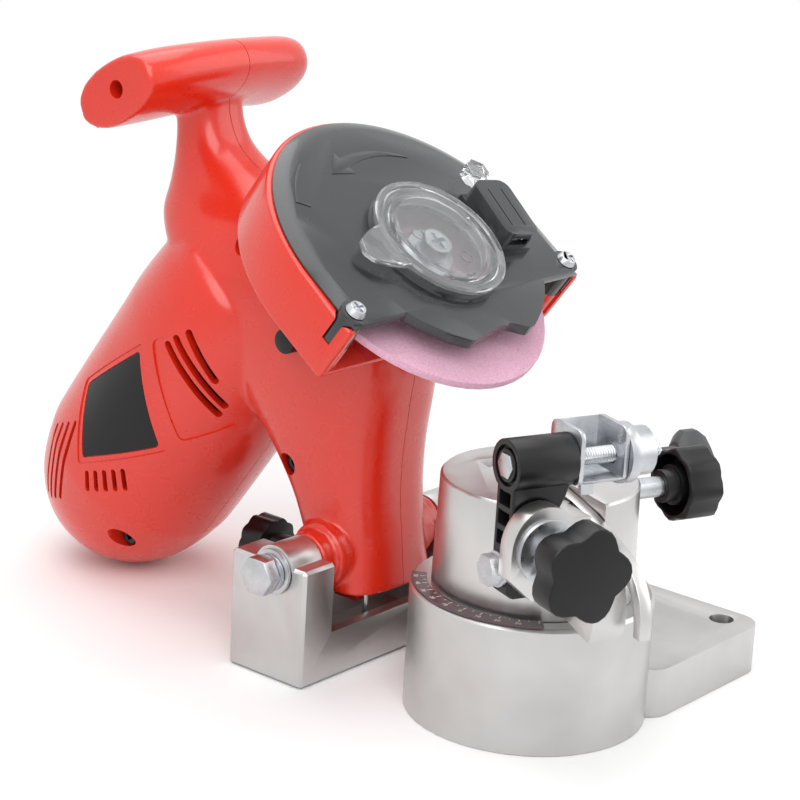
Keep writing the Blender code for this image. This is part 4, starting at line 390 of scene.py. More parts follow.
class Stock(enum.Enum):
    """Every finish on the tool."""

    # Gloss ABS from a polished tool: an even orange-red with a smooth skin and hardly a ripple.
    RED = Moulded("moulded_red_abs", "#dc2c15", "#d42711", 0.28, 4.0 * MM, 0.004 * MM, 0.35)
    # Semi-gloss ABS from a lightly etched tool: charcoal with a soft broad highlight.
    BLACK = Moulded("moulded_black_abs", "#242528", "#292b2d", 0.26, 1.1 * MM, 0.004 * MM, 0.3)
    # Glass-filled nylon of the knobs and arm: near black, a little glossier on its skin.
    NYLON = Moulded("moulded_black_nylon", "#0c0c0e", "#131315", 0.34, 0.8 * MM, 0.008 * MM, 0.0, 0.32)
    # The lever's dark grey nylon, matt.
    GREY = Moulded("moulded_grey_nylon", "#3a3b3c", "#454647", 0.45, 0.7 * MM, 0.015 * MM)
    # Die-cast aluminium, blasted and lacquered: pale grey metal with a fine sparkle and soft reflections.
    CASTING = Cast("blasted_cast_aluminium", "#cac9c7", "#bebdbc", 0.38, 0.55 * MM, 0.010 * MM)
    # The drum's casting is finer and brighter, as it was faced on a lathe.
    DRUM = Cast("faced_cast_aluminium", "#d0cfcd", "#c5c4c3", 0.32, 0.5 * MM, 0.007 * MM)
    # Bright zinc on steel, a little dulled by handling.
    ZINC = Plated("zinc_plated_steel", "#c9cbce", "#b7babe", 0.32, 0.5 * MM, 0.010 * MM)
    # Zinc plated screws down in the housing's wells, darkened with painted shade of the wells.
    DARK = Plated("zinc_steel_painted_well_shade", "#4b4c4f", "#3c3d40", 0.36, 0.5 * MM, 0.008 * MM)
    # Ground bearing steel and turned pulleys.
    GROUND = Plated("ground_bearing_steel", "#c3c5c8", "#b4b6b9", 0.18, 0.4 * MM, 0.006 * MM, 0.6)
    # Vitrified aluminium oxide, 60 grit drawn at twice its size so that it shows; its pores carry painted
    # shade.
    WHEEL = Grit("vitrified_pink_abrasive", "#dba2bd", "#e7bccd", 0.88, 0.6 * MM, 0.12 * MM)
    # Clear plastic of the cap and the latch: faintly milky, so that pale light hangs in it.
    GLASSY = Clear("clear_moulded_plastic", "#f3f5f6", "#edf0f2", 0.06, 3.0 * MM, 0.006 * MM, 0.92)
    # Printed dark film on the scale, over metal, with a wine red tint that is painted reflection of the red
    # housing.
    SCALE = Moulded("dark_scale_film_painted_red_reflection", "#4a3238", "#5a4148", 0.38, 0.6 * MM, 0.006 * MM, 0.2)
    # The ink of its marks.
    INK = Moulded("pale_scale_ink", "#e9e2cf", "#ddd6c2", 0.55, 0.5 * MM, 0.004 * MM)
    # Satin black paint of the bare plate on the barrel.
    PLATE = Moulded("satin_black_paint", "#08080a", "#0c0c0e", 0.32, 0.5 * MM, 0.004 * MM, 0.0, 0.3)
    # Turned copper of the commutator and the brush tubes.
    COPPER = Plated("turned_copper", "#c9825a", "#b8714b", 0.30, 0.4 * MM, 0.01 * MM, 0.8)
    # Laminated iron of the stator and armature, sheets drawn 1 mm thick so that they show.
    CORE = Laminated("laminated_core_iron", "#77787b", "#65676a", 0.45, 1.0 * MM, 0.05 * MM)
    # Moulded rubber of the belt.
    RUBBER = Moulded("moulded_belt_rubber", "#19191a", "#222223", 0.70, 0.5 * MM, 0.03 * MM)
    # Pressed carbon of the brushes.
    CARBON = Moulded("pressed_carbon", "#2a2a2b", "#333334", 0.60, 0.4 * MM, 0.02 * MM)


class Paints:
    """Makes each finish's material once."""

    def __init__(self) -> None:
        """Starts with no material made."""
        self.made: dict[Stock, bpy.types.Material] = {}

    def get(self, stock: Stock) -> bpy.types.Material:
        """Returns the finish's material, making it at the first call."""
        if stock not in self.made:
            self.made[stock] = stock.value.material()
        return self.made[stock]


PAINTS = Paints()


# Bench work


def clear_selection() -> None:
    """Leaves edit mode and deselects everything."""
    if bpy.context.mode != "OBJECT":
        bpy.ops.object.mode_set(mode="OBJECT")
    bpy.ops.object.select_all(action="DESELECT")


def take_up(piece: bpy.types.Object) -> None:
    """Selects one piece alone and makes it active."""
    clear_selection()
    piece.select_set(True)
    bpy.context.view_layer.objects.active = piece


def fix_place(piece: bpy.types.Object, matrix: Matrix | None = None) -> bpy.types.Object:
    """Puts a piece's place in its mesh, with its object at the origin.

    Args:
        piece: The piece.
        matrix: A further placing, applied after its own.

    Returns:
        The same piece.
    """
    bpy.context.view_layer.update()
    whole = (matrix or Matrix.Identity(4)) @ piece.matrix_world
    piece.data.transform(whole)
    if whole.determinant() < 0:
        piece.data.flip_normals()
    piece.matrix_world = Matrix.Identity(4)
    return piece


def apply_modifier(piece: bpy.types.Object, kind: str, **settings: object) -> bpy.types.Object:
    """Adds a modifier with its settings and applies it.

    Args:
        piece: The piece to change.
        kind: The modifier's type.
        **settings: Its attributes.

    Returns:
        The same piece.
    """
    take_up(piece)
    modifier = piece.modifiers.new(kind.lower(), kind)
    for key, value in settings.items():
        setattr(modifier, key, value)
    bpy.ops.object.modifier_apply(modifier=modifier.name)
    return piece


def combine(piece: bpy.types.Object, tools: list[bpy.types.Object], operation: str,
            solver: str = "MANIFOLD") -> bpy.types.Object:
    """Cuts with tools, or joins them on, and removes them.

    Args:
        piece: The piece to change.
        tools: Closed shapes.
        operation: DIFFERENCE, UNION or INTERSECT.
        solver: The Boolean solver.

    Returns:
        The same piece.
    """
    for tool in tools:
        apply_modifier(piece, "BOOLEAN", operation=operation, solver=solver, object=tool)
        bpy.data.objects.remove(tool, do_unlink=True)
    return piece


def edit(piece: bpy.types.Object, *steps: Callable[[], object]) -> bpy.types.Object:
    """Runs mesh steps on a whole piece in edit mode.

    Args:
        piece: The piece.
        *steps: The steps, each run with everything selected.

    Returns:
        The same piece.
    """
    take_up(piece)
    bpy.ops.object.mode_set(mode="EDIT")
    for step in steps:
        bpy.ops.mesh.select_all(action="SELECT")
        step()
    bpy.ops.object.mode_set(mode="OBJECT")
    return piece


def tidy(piece: bpy.types.Object, distance: float = 0.002 * MM) -> bpy.types.Object:
    """Merges doubles, closes open ends and turns the faces outwards.

    Args:
        piece: The piece.
        distance: How near two points are merged.

    Returns:
        The same piece.
    """
    return edit(
        piece, lambda: bpy.ops.mesh.remove_doubles(threshold=distance),
        lambda: bpy.ops.mesh.fill_holes(sides=0),
        lambda: bpy.ops.mesh.normals_make_consistent(inside=False),
    )


def cylinder(name: str, radius: float, low: float, high: float, matrix: Matrix, sides: int = 48,
             top: float | None = None) -> bpy.types.Object:
    """Adds a cylinder, or a cone frustum, along a frame's Z.

    Args:
        name: The object's name.
        radius: The radius at its lower end.
        low: Where it starts along Z.
        high: Where it ends.
        matrix: The frame.
        sides: How many sides it has.
        top: The radius at its upper end, where it differs.

    Returns:
        The cylinder, its place in its mesh.
    """
    clear_selection()
    bpy.ops.mesh.primitive_cone_add(
        vertices=sides, radius1=radius, radius2=radius if top is None else top, depth=high - low,
        location=(0, 0, (low + high) / 2),
    )
    piece = bpy.context.active_object
    piece.name = piece.data.name = name
    return fix_place(piece, matrix)


def block(name: str, low: tuple[float, float, float], high: tuple[float, float, float],
          matrix: Matrix | None = None) -> bpy.types.Object:
    """Adds a box between two corners in a frame.

    Args:
        name: The object's name.
        low: Its lowest corner.
        high: Its highest corner.
        matrix: The frame.

    Returns:
        The box, its place in its mesh.
    """
    clear_selection()
    middle = [(a + b) / 2 for a, b in zip(low, high)]
    bpy.ops.mesh.primitive_cube_add(size=1.0, location=middle, scale=[b - a for a, b in zip(low, high)])
    piece = bpy.context.active_object
    piece.name = piece.data.name = name
    return fix_place(piece, matrix)


def slab(name: str, outline: Outline, low: float, high: float,
         matrix: Matrix | None = None) -> bpy.types.Object:
    """Extrudes a flat outline along a frame's Z.

    Args:
        name: The object's name.
        outline: Its points, anticlockwise.
        low: Where it starts along Z.
        high: Where it ends.
        matrix: The frame.

    Returns:
        The closed slab, its place in its mesh.
    """
    clear_selection()
    bpy.ops.mesh.primitive_circle_add(vertices=len(outline), radius=1.0, fill_type="NGON")
    piece = bpy.context.active_object
    piece.name = piece.data.name = name
    order = sorted(piece.data.vertices, key=lambda v: math.atan2(v.co.y, v.co.x) % (2 * math.pi - 1e-4))
    for vertex, (x, y) in zip(order, outline):
        vertex.co = (x, y, low)
    rise = {"value": (0, 0, high - low)}
    tidy(edit(piece, lambda: bpy.ops.mesh.extrude_region_move(TRANSFORM_OT_translate=rise)))
    return fix_place(piece, matrix)


def tube(name: str, rings: int, sides: int, placer: Placer,
         matrix: Matrix | None = None) -> bpy.types.Object:
    """Rolls a grid into a closed tube and gives each point its place.

    Args:
        name: The object's name.
        rings: How many rings it has along it.
        sides: How many points go round it.
        placer: Gives the place for a share of the length and an angle.
        matrix: The frame.

    Returns:
        The closed tube, its place in its mesh.
    """
    clear_selection()
    bpy.ops.mesh.primitive_grid_add(x_subdivisions=sides, y_subdivisions=rings - 1, size=2.0)
    piece = bpy.context.active_object
    piece.name = piece.data.name = name
    for vertex in piece.data.vertices:
        share = (vertex.co.y + 1) / 2
        vertex.co = placer(share, math.pi * (vertex.co.x + 1))
    tidy(piece, MERGE)
    return fix_place(piece, matrix)


def lathe(name: str, profile: Outline, matrix: Matrix, sides: int = 96) -> bpy.types.Object:
    """Turns a profile round a frame's Z.

    Args:
        name: The object's name.
        profile: Radius and height of each ring, in millimetres, from the axis or a point back to it.
        matrix: The frame.
        sides: How many sides it has.

    Returns:
        The closed shape, its place in its mesh.
    """

    def placer(share: float, angle: float) -> Vector:
        radius, height = profile[round(share * (len(profile) - 1))]
        return Vector((radius * math.cos(angle), radius * math.sin(angle), height)) * MM

    return tube(name, len(profile), sides, placer, matrix)


def stack(name: str, layers: list[tuple[float, Outline]], matrix: Matrix) -> bpy.types.Object:
    """Joins outlines of the same count at rising heights into one solid.

    Args:
        name: The object's name.
        layers: Height and outline of each layer.
        matrix: The frame.

    Returns:
        The closed solid, its place in its mesh.
    """
    count = len(layers[0][1])

    def placer(share: float, angle: float) -> Vector:
        height, outline = layers[round(share * (len(layers) - 1))]
        return Vector((*outline[round(angle / (2 * math.pi) * count) % count], height))

    return tube(name, len(layers), count, placer, matrix)


def arch(radius: float, skirt: float, steps: int = 72) -> Outline:
    """The guard's outline: a half circle over straight sides.

    Args:
        radius: Its radius.
        skirt: Where its straight sides end.
        steps: How many faces cross the half circle.

    Returns:
        Its points, anticlockwise.
    """
    angles = [math.pi * i / steps for i in range(steps + 1)]
    return [(radius * math.cos(a), radius * math.sin(a)) for a in angles] + [(-radius, skirt),
                                                                             (radius, skirt)]


def soften_edges(piece: bpy.types.Object, width: float, segments: int = 2,
                 angle: float = 35.0) -> bpy.types.Object:
    """Bevels a piece's sharp edges.

    Args:
        piece: The piece.
        width: The bevel's width.
        segments: How many faces cross it.
        angle: Edges sharper than this many degrees get it.

    Returns:
        The same piece.
    """
    return apply_modifier(
        piece, "BEVEL", width=width, segments=segments, limit_method="ANGLE",
        angle_limit=math.radians(angle),
        use_clamp_overlap=True, miter_outer="MITER_ARC",
    )


def dress(piece: bpy.types.Object, stock: Stock, angle: float = 35.0) -> bpy.types.Object:
    """Gives a piece its finish and smooth shading between its sharp edges.

    Args:
        piece: The piece.
        stock: The finish.
        angle: Edges sharper than this many degrees stay sharp.

    Returns:
        The same piece.
    """
    take_up(piece)
    bpy.ops.object.shade_smooth_by_angle(angle=math.radians(angle))
    piece.data.materials.clear()
    piece.data.materials.append(PAINTS.get(stock))
    return piece


def mount(piece: bpy.types.Object, body: str, slot: str, *nodes: str) -> bpy.types.Object:
    """Fixes a piece to the body it moves with, and hides the solids it stands for.

    Args:
        piece: The piece.
        body: The body it rides on.
        slot: The record's material slot; not used.
        *nodes: The solids it replaces.

    Returns:
        The same piece.
    """
    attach(piece, body)
    if nodes:
        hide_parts(*nodes)
    LOG.info("%s on %s, %d points", piece.name, body, len(piece.data.vertices))
    return piece


def join_pieces(piece: bpy.types.Object, others: list[bpy.types.Object]) -> bpy.types.Object:
    """Joins other pieces into one without changing their shapes.

    Args:
        piece: The piece that stays.
        others: The pieces that go into it.

    Returns:
        The joined piece.
    """
    take_up(piece)
    for other in others:
        other.select_set(True)
    bpy.ops.object.join()
    return piece


def body_of_node(node: str) -> str:
    """Returns the body that holds a node."""
    bodies = frame["record"]["behaviour"]["bodies"]
    return next(name for name, nodes in bodies.items() if node in nodes)


def slot_of_node(node: str) -> str:
    """Returns the record's material slot of a node."""
    return next(part["material_slot"] for part in frame["record"]["subparts"] if part["node"] == node)


def fair_copy(node: str) -> bpy.types.Object:
    """Copies a solid with its points merged and its flat faces made whole.

    Args:
        node: The solid's name.

    Returns:
        The copy, which still has to be dressed and mounted.
    """
    piece = bpy.data.objects.new(node + "_finished", frame["nodes"][node].data.copy())
    bpy.context.scene.collection.objects.link(piece)
    return edit(
        piece, lambda: bpy.ops.mesh.remove_doubles(threshold=MERGE),
        lambda: bpy.ops.mesh.dissolve_limited(angle_limit=math.radians(FLAT_ANGLE)),
    )


def rounded(half_x: float, half_y: float, squareness: float, angle: float) -> tuple[float, float]:
    """A point of a superellipse.

    Args:
        half_x: Half its width.
        half_y: Half its depth.
        squareness: Two for an ellipse, more for squarer.
        angle: The direction of the point.

    Returns:
        The point.
    """
    c, s = math.cos(angle), math.sin(angle)
    scale = (abs(c) ** squareness + abs(s) ** squareness) ** (-1 / squareness)
    return half_x * c * scale, half_y * s * scale


def along_rows(rows: list[tuple[float, ...]], share: float) -> tuple[float, ...]:
    """A smooth path through rows of numbers.

    Args:
        rows: The rows, evenly spaced along the path.
        share: Where on the path, from 0 to 1.

    Returns:
        The numbers there.
    """
    spot = min(max(share, 0.0), 1.0) * (len(rows) - 1)
    i = min(int(spot), len(rows) - 2)
    t = spot - i
    before, after = rows[max(i - 1, 0)], rows[min(i + 2, len(rows) - 1)]
    out = []
    for a, b, c, d in zip(before, rows[i], rows[i + 1], after):
        out.append(b + 0.5 * t * (c - a + t * (2 * a - 5 * b + 4 * c - d + t * (3 * (b - c) + d - a))))
    return tuple(out)


def stadium(left: float, right: float, half: float, low_half: float | None = None,
            steps: int = 6) -> Outline:
    """A slot's outline with round ends.

    Args:
        left: Where its left end is.
        right: Where its right end is.
        half: Half its width.
        low_half: Half its width at the left end, where it differs.
        steps: How many points each round end has.

    Returns:
        Its points, anticlockwise.
    """
    outline = []
    for centre, start, radius in ((right - half, -0.5, half), (left + half, 0.5, low_half or half)):
        for i in range(steps + 1):
            angle = math.pi * (start + i / steps)
            outline.append((centre + radius * math.cos(angle), radius * math.sin(angle)))
    return outline


# Grinding head


@dataclasses.dataclass
class Barrel:
    """The motor barrel's surface, for what lies on it or goes through it.

    Attributes:
        radius: The barrel's radius.
        offset: How far up the slope its axis lies from the wheel's.
    """

    radius: float = BARREL_R
    offset: float = MOTOR_Y

    def place(self, depth: float, angle: float, radius: float) -> Vector:
        """A place by depth along the barrel and angle from its left side, in the wheel's frame."""
        return Vector((-radius * math.cos(angle), self.offset + radius * math.sin(angle), depth))

    def wrap(self, piece: bpy.types.Object, centre: tuple[float, float], turn: float,
             base: float) -> bpy.types.Object:
        """Bends a flat piece round the barrel.

        Args:
            piece: A piece laid out flat, X along the barrel's depth and Y round it, Z outwards.
            centre: The depth and the angle of its origin.
            turn: How far it is turned on the surface.
            base: The radius that its Z is counted from.

        Returns:
            The bent piece, in the world's frame.
        """
        c, s = math.cos(turn), math.sin(turn)
        for vertex in piece.data.vertices:
            x, y, z = vertex.co
            along, around = x * c - y * s, x * s + y * c
            vertex.co = WHEEL_FRAME @ self.place(centre[0] + along, centre[1] + around / self.radius,
                                                 base + z)
        return edit(piece, lambda: bpy.ops.mesh.normals_make_consistent(inside=False))

    def slices(self, piece: bpy.types.Object, pitch: float) -> bpy.types.Object:
        """Cuts a flat piece into strips, so that it can bend.

        Args:
            piece: The flat piece.
            pitch: The strips' width.

        Returns:
            The same piece.
        """
        for axis in (0, 1):
            values = [v.co[axis] for v in piece.data.vertices]
            count = int((max(values) - min(values)) / pitch)
            for i in range(1, count + 1):
                normal = [1.0 if k == axis else 0.0 for k in range(3)]
                point = [(min(values) + i * pitch) * n for n in normal]
                edit(piece, lambda: bpy.ops.mesh.bisect(plane_co=point, plane_no=normal))
        return piece


@dataclasses.dataclass
class Housing:
    """The red moulded shell: column, handle, barrel and guard, in two halves.

    Attributes:
        levels: Height, half width, front and back of the column.
        stations: Share of the handle's half length and of its section.
        voxel: The pitch at which the blended skin is meshed.
    """

    levels: list[tuple[float, float, float, float]] = dataclasses.field(
        default_factory=lambda: [
            (28.5, 24.0, 58.0, 88.0), (45.0, 22.5, 60.0, 96.0), (62.0, 23.5, 62.0, 104.0),
            (80.0, 25.5, 62.0, 117.0),
            (100.0, 29.0, 60.0, 135.0), (120.0, 31.5, 58.5, 151.0), (138.0, 31.5, 68.0, 168.0),
            (152.0, 26.0, 88.5, 176.5), (164.0, 18.0, 120.0, 176.5), (176.0, 13.5, 145.0, 175.5),
            (188.0, 12.0, 154.0, 176.0), (202.0, 14.0, 156.0, 180.0),
        ]
    )
    stations: list[tuple[float, float]] = dataclasses.field(
        default_factory=lambda: [
            (-1.0, 0.90), (-0.97, 0.97), (-0.7, 1.0), (-0.3, 0.97), (0.3, 0.95), (0.66, 0.96), (0.82, 0.90),
            (0.89, 0.76), (0.92, 0.55),
        ]
    )
    voxel: float = 1.0 * MM
    wall: float = 3.2 * MM
    barrel: Barrel = dataclasses.field(default_factory=Barrel)

    def column(self) -> bpy.types.Object:
        """Makes the column from the foot up to the handle."""

        def placer(share: float, angle: float) -> Vector:
            level, half, front, back = (value * MM for value in along_rows(self.levels, share))
            x, y = rounded(half, (back - front) / 2, 2.9, angle)
            return Vector((x, (front + back) / 2 + y, level))

        return tube("column", 89, 96, placer)

    def handle(self) -> bpy.types.Object:
        """Makes the cross bar of the handle."""
        tilt = math.radians(-31)

        def placer(share: float, angle: float) -> Vector:
            along, size = along_rows(self.stations, share)
            a, b = rounded(21.0 * MM * size, 11.5 * MM * size, 2.3, angle)
            y = 164.0 * MM + 6.0 * MM * along * along + a * math.cos(tilt) - b * math.sin(tilt)
            z = 204.1 * MM - 3.5 * MM * along * along + a * math.sin(tilt) + b * math.cos(tilt)
            return Vector((46.0 * MM * along, y, z))

        return tube("handle", 65, 64, placer)

    def barrel_solid(self) -> bpy.types.Object:
        """Makes the barrel with its domed end."""
        r, shoulder, end = BARREL_R, -165.0 * MM, -204.6 * MM
        profile = [
            (0.0, -48.0 * MM), (r * 0.73, -48.0 * MM), (r * 0.93, -60.0 * MM), (r, -2 * r),
            (r, (shoulder - r) / 2),
            (r, shoulder + r / 3), (r * 0.975, shoulder), (r * 0.86, end + r * 0.54),
            (r * 0.65, end + r * 0.21),
            (r * 0.36, end + r * 0.05), (0.0, end),
        ]

        def placer(share: float, angle: float) -> Vector:
            radius, depth = along_rows(profile, share)
            return Vector((radius * math.cos(angle), MOTOR_Y + radius * math.sin(angle), depth))

        return tube("barrel", 121, 128, placer, WHEEL_FRAME)

    def feet(self) -> list[bpy.types.Object]:
        """Makes the pivot bosses and the heel that meets the depth screw."""
        across = Matrix.Translation((0, 78.0 * MM, 42.0 * MM)) @ Matrix.Rotation(math.pi / 2, 4, "Y")
        heel = block("heel", (-8 * MM, 74 * MM, 20 * MM), (8 * MM, 85.5 * MM, 34 * MM))
        return [
            cylinder("boss", 10.0 * MM, -33.7 * MM, 33.7 * MM, across, 64),
            cylinder("boss_ring", 12.5 * MM, -27.0 * MM, 27.0 * MM, across, 64),
            heel,
        ]

    def skin(self) -> bpy.types.Object:
        """Blends the column, handle, barrel and feet into one moulded skin."""
        piece = join_pieces(self.column(), [self.handle(), self.barrel_solid(), *self.feet()])
        apply_modifier(piece, "REMESH", mode="VOXEL", voxel_size=self.voxel, adaptivity=0.0)
        return apply_modifier(piece, "SMOOTH", factor=0.5, iterations=7)

    def guard(self) -> bpy.types.Object:
        """Makes the guard: an arched rim with a floor, open at the front."""

        shell = slab("guard", arch(GUARD_R, -25.0 * MM), -13.0 * MM, 10.5 * MM, WHEEL_FRAME)
        soften_edges(shell, 1.6 * MM, 4)
        room = slab("guard_room", arch(61.6 * MM, -29.0 * MM), -10.0 * MM, 12.5 * MM, WHEEL_FRAME)
        combine(shell, [room], "DIFFERENCE")
        combine(shell, [cylinder("post", POST_R, -11.0 * MM, 5.0 * MM, place, 40) for place in SCREW_FRAMES],
                "UNION")
        combine(shell, [cylinder("seat", 5.8 * MM, 0.0, 12.0 * MM, place, 40) for place in SCREW_FRAMES],
                "DIFFERENCE")
        return soften_edges(shell, 0.4 * MM, 2)

    def rooms(self) -> list[bpy.types.Object]:
        """Makes the hollows for the motor, the belt and the spindle."""
        inner = BARREL_R - self.wall - 0.9 * MM
        profile = [
            (0.0, -45.0 * MM), (SPINDLE_ROOM_R, -45.0 * MM), (SPINDLE_ROOM_R, -65.9 * MM),
            (inner * 0.92, -66.0 * MM),
            (inner, -74.0 * MM), (inner, -161.0 * MM), (inner * 0.82, -178.0 * MM),
            (SPINDLE_ROOM_R, -178.1 * MM),
            (SPINDLE_ROOM_R, -199.0 * MM), (0.0, -199.0 * MM),
        ]

        def placer(share: float, angle: float) -> Vector:
            spot = min(share * (len(profile) - 1), len(profile) - 1 - 1e-6)
            (r0, d0), (r1, d1) = profile[int(spot)], profile[int(spot) + 1]
            t = spot - int(spot)
            radius, depth = r0 + (r1 - r0) * t, d0 + (d1 - d0) * t
            return Vector((radius * math.cos(angle), MOTOR_Y + radius * math.sin(angle), depth))

        belt = ((16.0, 0), (12.0, 58.0), (-12.0, 58.0), (-16.0, 0), (-12, -14), (12, -14))
        return [
            tube("motor_room", len(profile), 72, placer, WHEEL_FRAME),
            cylinder("spindle_room", SPINDLE_ROOM_R, -60.0 * MM, -8.0 * MM, WHEEL_FRAME, 48),
            slab("belt_room", [(x * MM, y * MM) for x, y in belt], -46.0 * MM, -35.0 * MM, WHEEL_FRAME),
        ]

    def slot_tool(self, start: tuple[float, float], end: tuple[float, float],
                  width: float) -> bpy.types.Object:
        """Makes the cutter of one vent that follows the barrel's curve.

        Args:
            start: Depth as a share of the radius, and angle in degrees.
            end: The same at its other end.
            width: The vent's width.

        Returns:
            The cutter.
        """
        (d0, a0), (d1, a1) = [(d * BARREL_R, math.radians(a)) for d, a in (start, end)]
        run = Vector((d1 - d0, (a1 - a0) * BARREL_R))
        half = run.length / 2 + width / 3
        tool = slab("vent", stadium(-half, half, width / 2), -7.0 * MM, 2.0 * MM)
        self.barrel.slices(tool, 2.0 * MM)
        return self.barrel.wrap(tool, ((d0 + d1) / 2, (a0 + a1) / 2), math.atan2(run.y, run.x), BARREL_R)

    def vents(self) -> list[bpy.types.Object]:
        """Makes the cutters of the vents on both sides."""
        places = [
            ((-1.93, -3), (-2.24, -48), 3.2 * MM), ((-1.81, -5), (-2.12, -48), 3.2 * MM),
            ((-1.67, -9), (-1.91, -36), 3.2 * MM),
        ]
        rows = (((-3.72, -6), (-3.87, -12), (-3.39, -22), (-3.56, -29), 5),
                ((-3.50, 19), (-4.30, 2), (-3.82, 33), (-4.55, 15), 4))
        for first_start, first_end, last_start, last_end, count in rows:
            for i in range(count):
                t = i / (count - 1)
                start = tuple(a + (b - a) * t for a, b in zip(first_start, last_start))
                end = tuple(a + (b - a) * t for a, b in zip(first_end, last_end))
                places.append((start, end, 2.0 * MM))
        tools = []
        for start, end, width in places:
            tools.append(self.slot_tool(start, end, width))
            tools.append(self.slot_tool((start[0], 180 - start[1]), (end[0], 180 - end[1]), width))
        return tools

    def panels(self) -> list[bpy.types.Object]:
        """Makes the cutters of the shallow panels round the long vents and of the plate's recess."""
        tools = []
        corners = [(-2.043, 5.5), (-2.721, -38.6), (-2.264, -59.6), (-1.613, -27.3), (-1.55, -11.7)]
        for mirror in (False, True):
            flat = [(d * BARREL_R, math.radians(180 - a if mirror else a) * BARREL_R) for d, a in corners]
            middle = (sum(x for x, _ in flat) / len(flat), sum(y for _, y in flat) / len(flat))
            outline = round_corners([(x - middle[0], y - middle[1]) for x, y in flat], 3.0 * MM)
            tool = slab("panel", outline, -0.55 * MM, 3.0 * MM)
            self.barrel.slices(tool, 3.0 * MM)
            tools.append(self.barrel.wrap(tool, (middle[0], middle[1] / BARREL_R), 0.0, BARREL_R))
        return tools + BarePlate().recess()

    def holes(self) -> list[bpy.types.Object]:
        """Makes the cutters of the screw wells, the bores and the trigger's slot."""
        across = Matrix.Rotation(math.pi / 2, 4, "Y")
        tools = []
        for y, z, face in ((120.0, 151.0, 27.0), (97.5, 71.5, 26.0), (179.0, 21.5, 30.0)):
            place = Matrix.Translation((0, y * MM, z * MM)) @ across
            seat = -(face - 9.0) * MM
            tools.append(cylinder("screw_well", 4.4 * MM, -2 * face * MM, seat, place, 40))
            tools.append(cylinder("screw_bore", 2.0 * MM, seat - 0.3 * MM, seat + (13.0 + face / 2) * MM,
                                  place, 24))
        end = Matrix.Translation((0, 168.5 * MM, 202.0 * MM)) @ across
        tools.append(cylinder("handle_well", 3.4 * MM, -60.0 * MM, -36.0 * MM, end, 40))
        pivot = Matrix.Translation((0, 78.0 * MM, 42.0 * MM)) @ across
        tools.append(cylinder("pivot_bore", 4.3 * MM, -60.0 * MM, 60.0 * MM, pivot, 40))
        tools.append(block("trigger_slot", (-6.8 * MM, 163.2 * MM, 138.7 * MM),
                           (6.8 * MM, 190.0 * MM, 161.3 * MM)))
        lock = WHEEL_FRAME @ Matrix.Translation((0, 6.0 * MM, -34.5 * MM)) @ across
        tools.append(cylinder("lock_bore", 4.9 * MM, -80.0 * MM, -24.2 * MM, lock, 40))
        return tools

    def build(self) -> None:
        """Makes both halves, dresses them and sets them on the head."""
        whole = self.skin()
        combine(whole, [self.guard()], "UNION")
        combine(whole, self.rooms(), "DIFFERENCE")
        combine(whole, self.panels(), "DIFFERENCE")
        combine(whole, self.holes(), "DIFFERENCE")
        combine(whole, self.vents(), "DIFFERENCE")
        far, gap = 0.4, 0.15 * MM
        other = bpy.data.objects.new("red_housing_right", whole.data.copy())
        bpy.context.scene.collection.objects.link(other)
        whole.name = "red_housing_left"
        combine(whole, [block("right_side", (-gap, -far, -far), (far, far, far))], "DIFFERENCE")
        combine(other, [block("left_side", (-far, -far, -far), (gap, far, far))], "DIFFERENCE")
        for piece, node in ((whole, "housing_left"), (other, "housing_right")):
            dress(piece, Stock.RED, 40)
            mount(piece, "head", "red_plastic", node)


def round_corners(points: Outline, radius: float, steps: int = 5) -> Outline:
    """Rounds the corners of an outline.

    Args:
        points: Its corners, in order.
        radius: How far from a corner the rounding starts.
        steps: How many faces cross it.

    Returns:
        Its points, anticlockwise.
    """
    area = sum(x0 * y1 - x1 * y0 for (x0, y0), (x1, y1) in zip(points, points[1:] + points[:1]))
    corners = [Vector(p) for p in (points if area > 0 else reversed(points))]
    outline = []
    for i, corner in enumerate(corners):
        before = corner + (corners[i - 1] - corner).normalized() * radius
        after = corner + (corners[(i + 1) % len(corners)] - corner).normalized() * radius
        for k in range(steps + 1):
            t = k / steps
            spot = before * (1 - t) ** 2 + corner * 2 * t * (1 - t) + after * t * t
            outline.append((spot.x, spot.y))
    return outline


@dataclasses.dataclass
class BarePlate:
    """The black painted plate in its stepped recess on the barrel.

    Attributes:
        corners: Depth as a share of the radius, and angle in degrees, of each corner.
        middle: The same for the point that it grows about.
    """

    corners: tuple[tuple[float, float], ...] = ((-3.132, 29.3), (-2.276, 8.8), (-2.906, -30.5),
                                                (-3.646, 1.5))
    middle: tuple[float, float] = (-2.99, 2.3)
    barrel: Barrel = dataclasses.field(default_factory=Barrel)

    def sheet(self, name: str, size: float, low: float, high: float) -> bpy.types.Object:
        """Makes a bent sheet of the plate's outline on the barrel.

        Args:
            name: The object's name.
            size: Its size as a share of the plate's.
            low: Its lower face, from the barrel's surface.
            high: Its upper face.

        Returns:
            The sheet.
        """
        depth, angle = self.middle
        flat = [
            (size * (d - depth) * BARREL_R, size * math.radians(a - angle) * BARREL_R) for d,
            a in self.corners
        ]
        piece = slab(name, round_corners(flat, 1.8 * MM), low, high)
        self.barrel.slices(piece, 2.5 * MM)
        return self.barrel.wrap(piece, (depth * BARREL_R, math.radians(angle)), 0.0, BARREL_R)

    def recess(self) -> list[bpy.types.Object]:
        """Makes the cutters of the bezel and of the plate's seat."""
        return [
            self.sheet("plate_bezel", 1.15, -0.45 * MM, 3.0 * MM),
            self.sheet("plate_seat", 1.02, -1.1 * MM, 3.0 * MM),
        ]

    def build(self) -> None:
        """Makes the plate."""
        plate = self.sheet("bare_plate", 1.0, -0.95 * MM, -0.6 * MM)
        mount(dress(plate, Stock.PLATE, 50), "head", "bare_plate", "rating_plate")


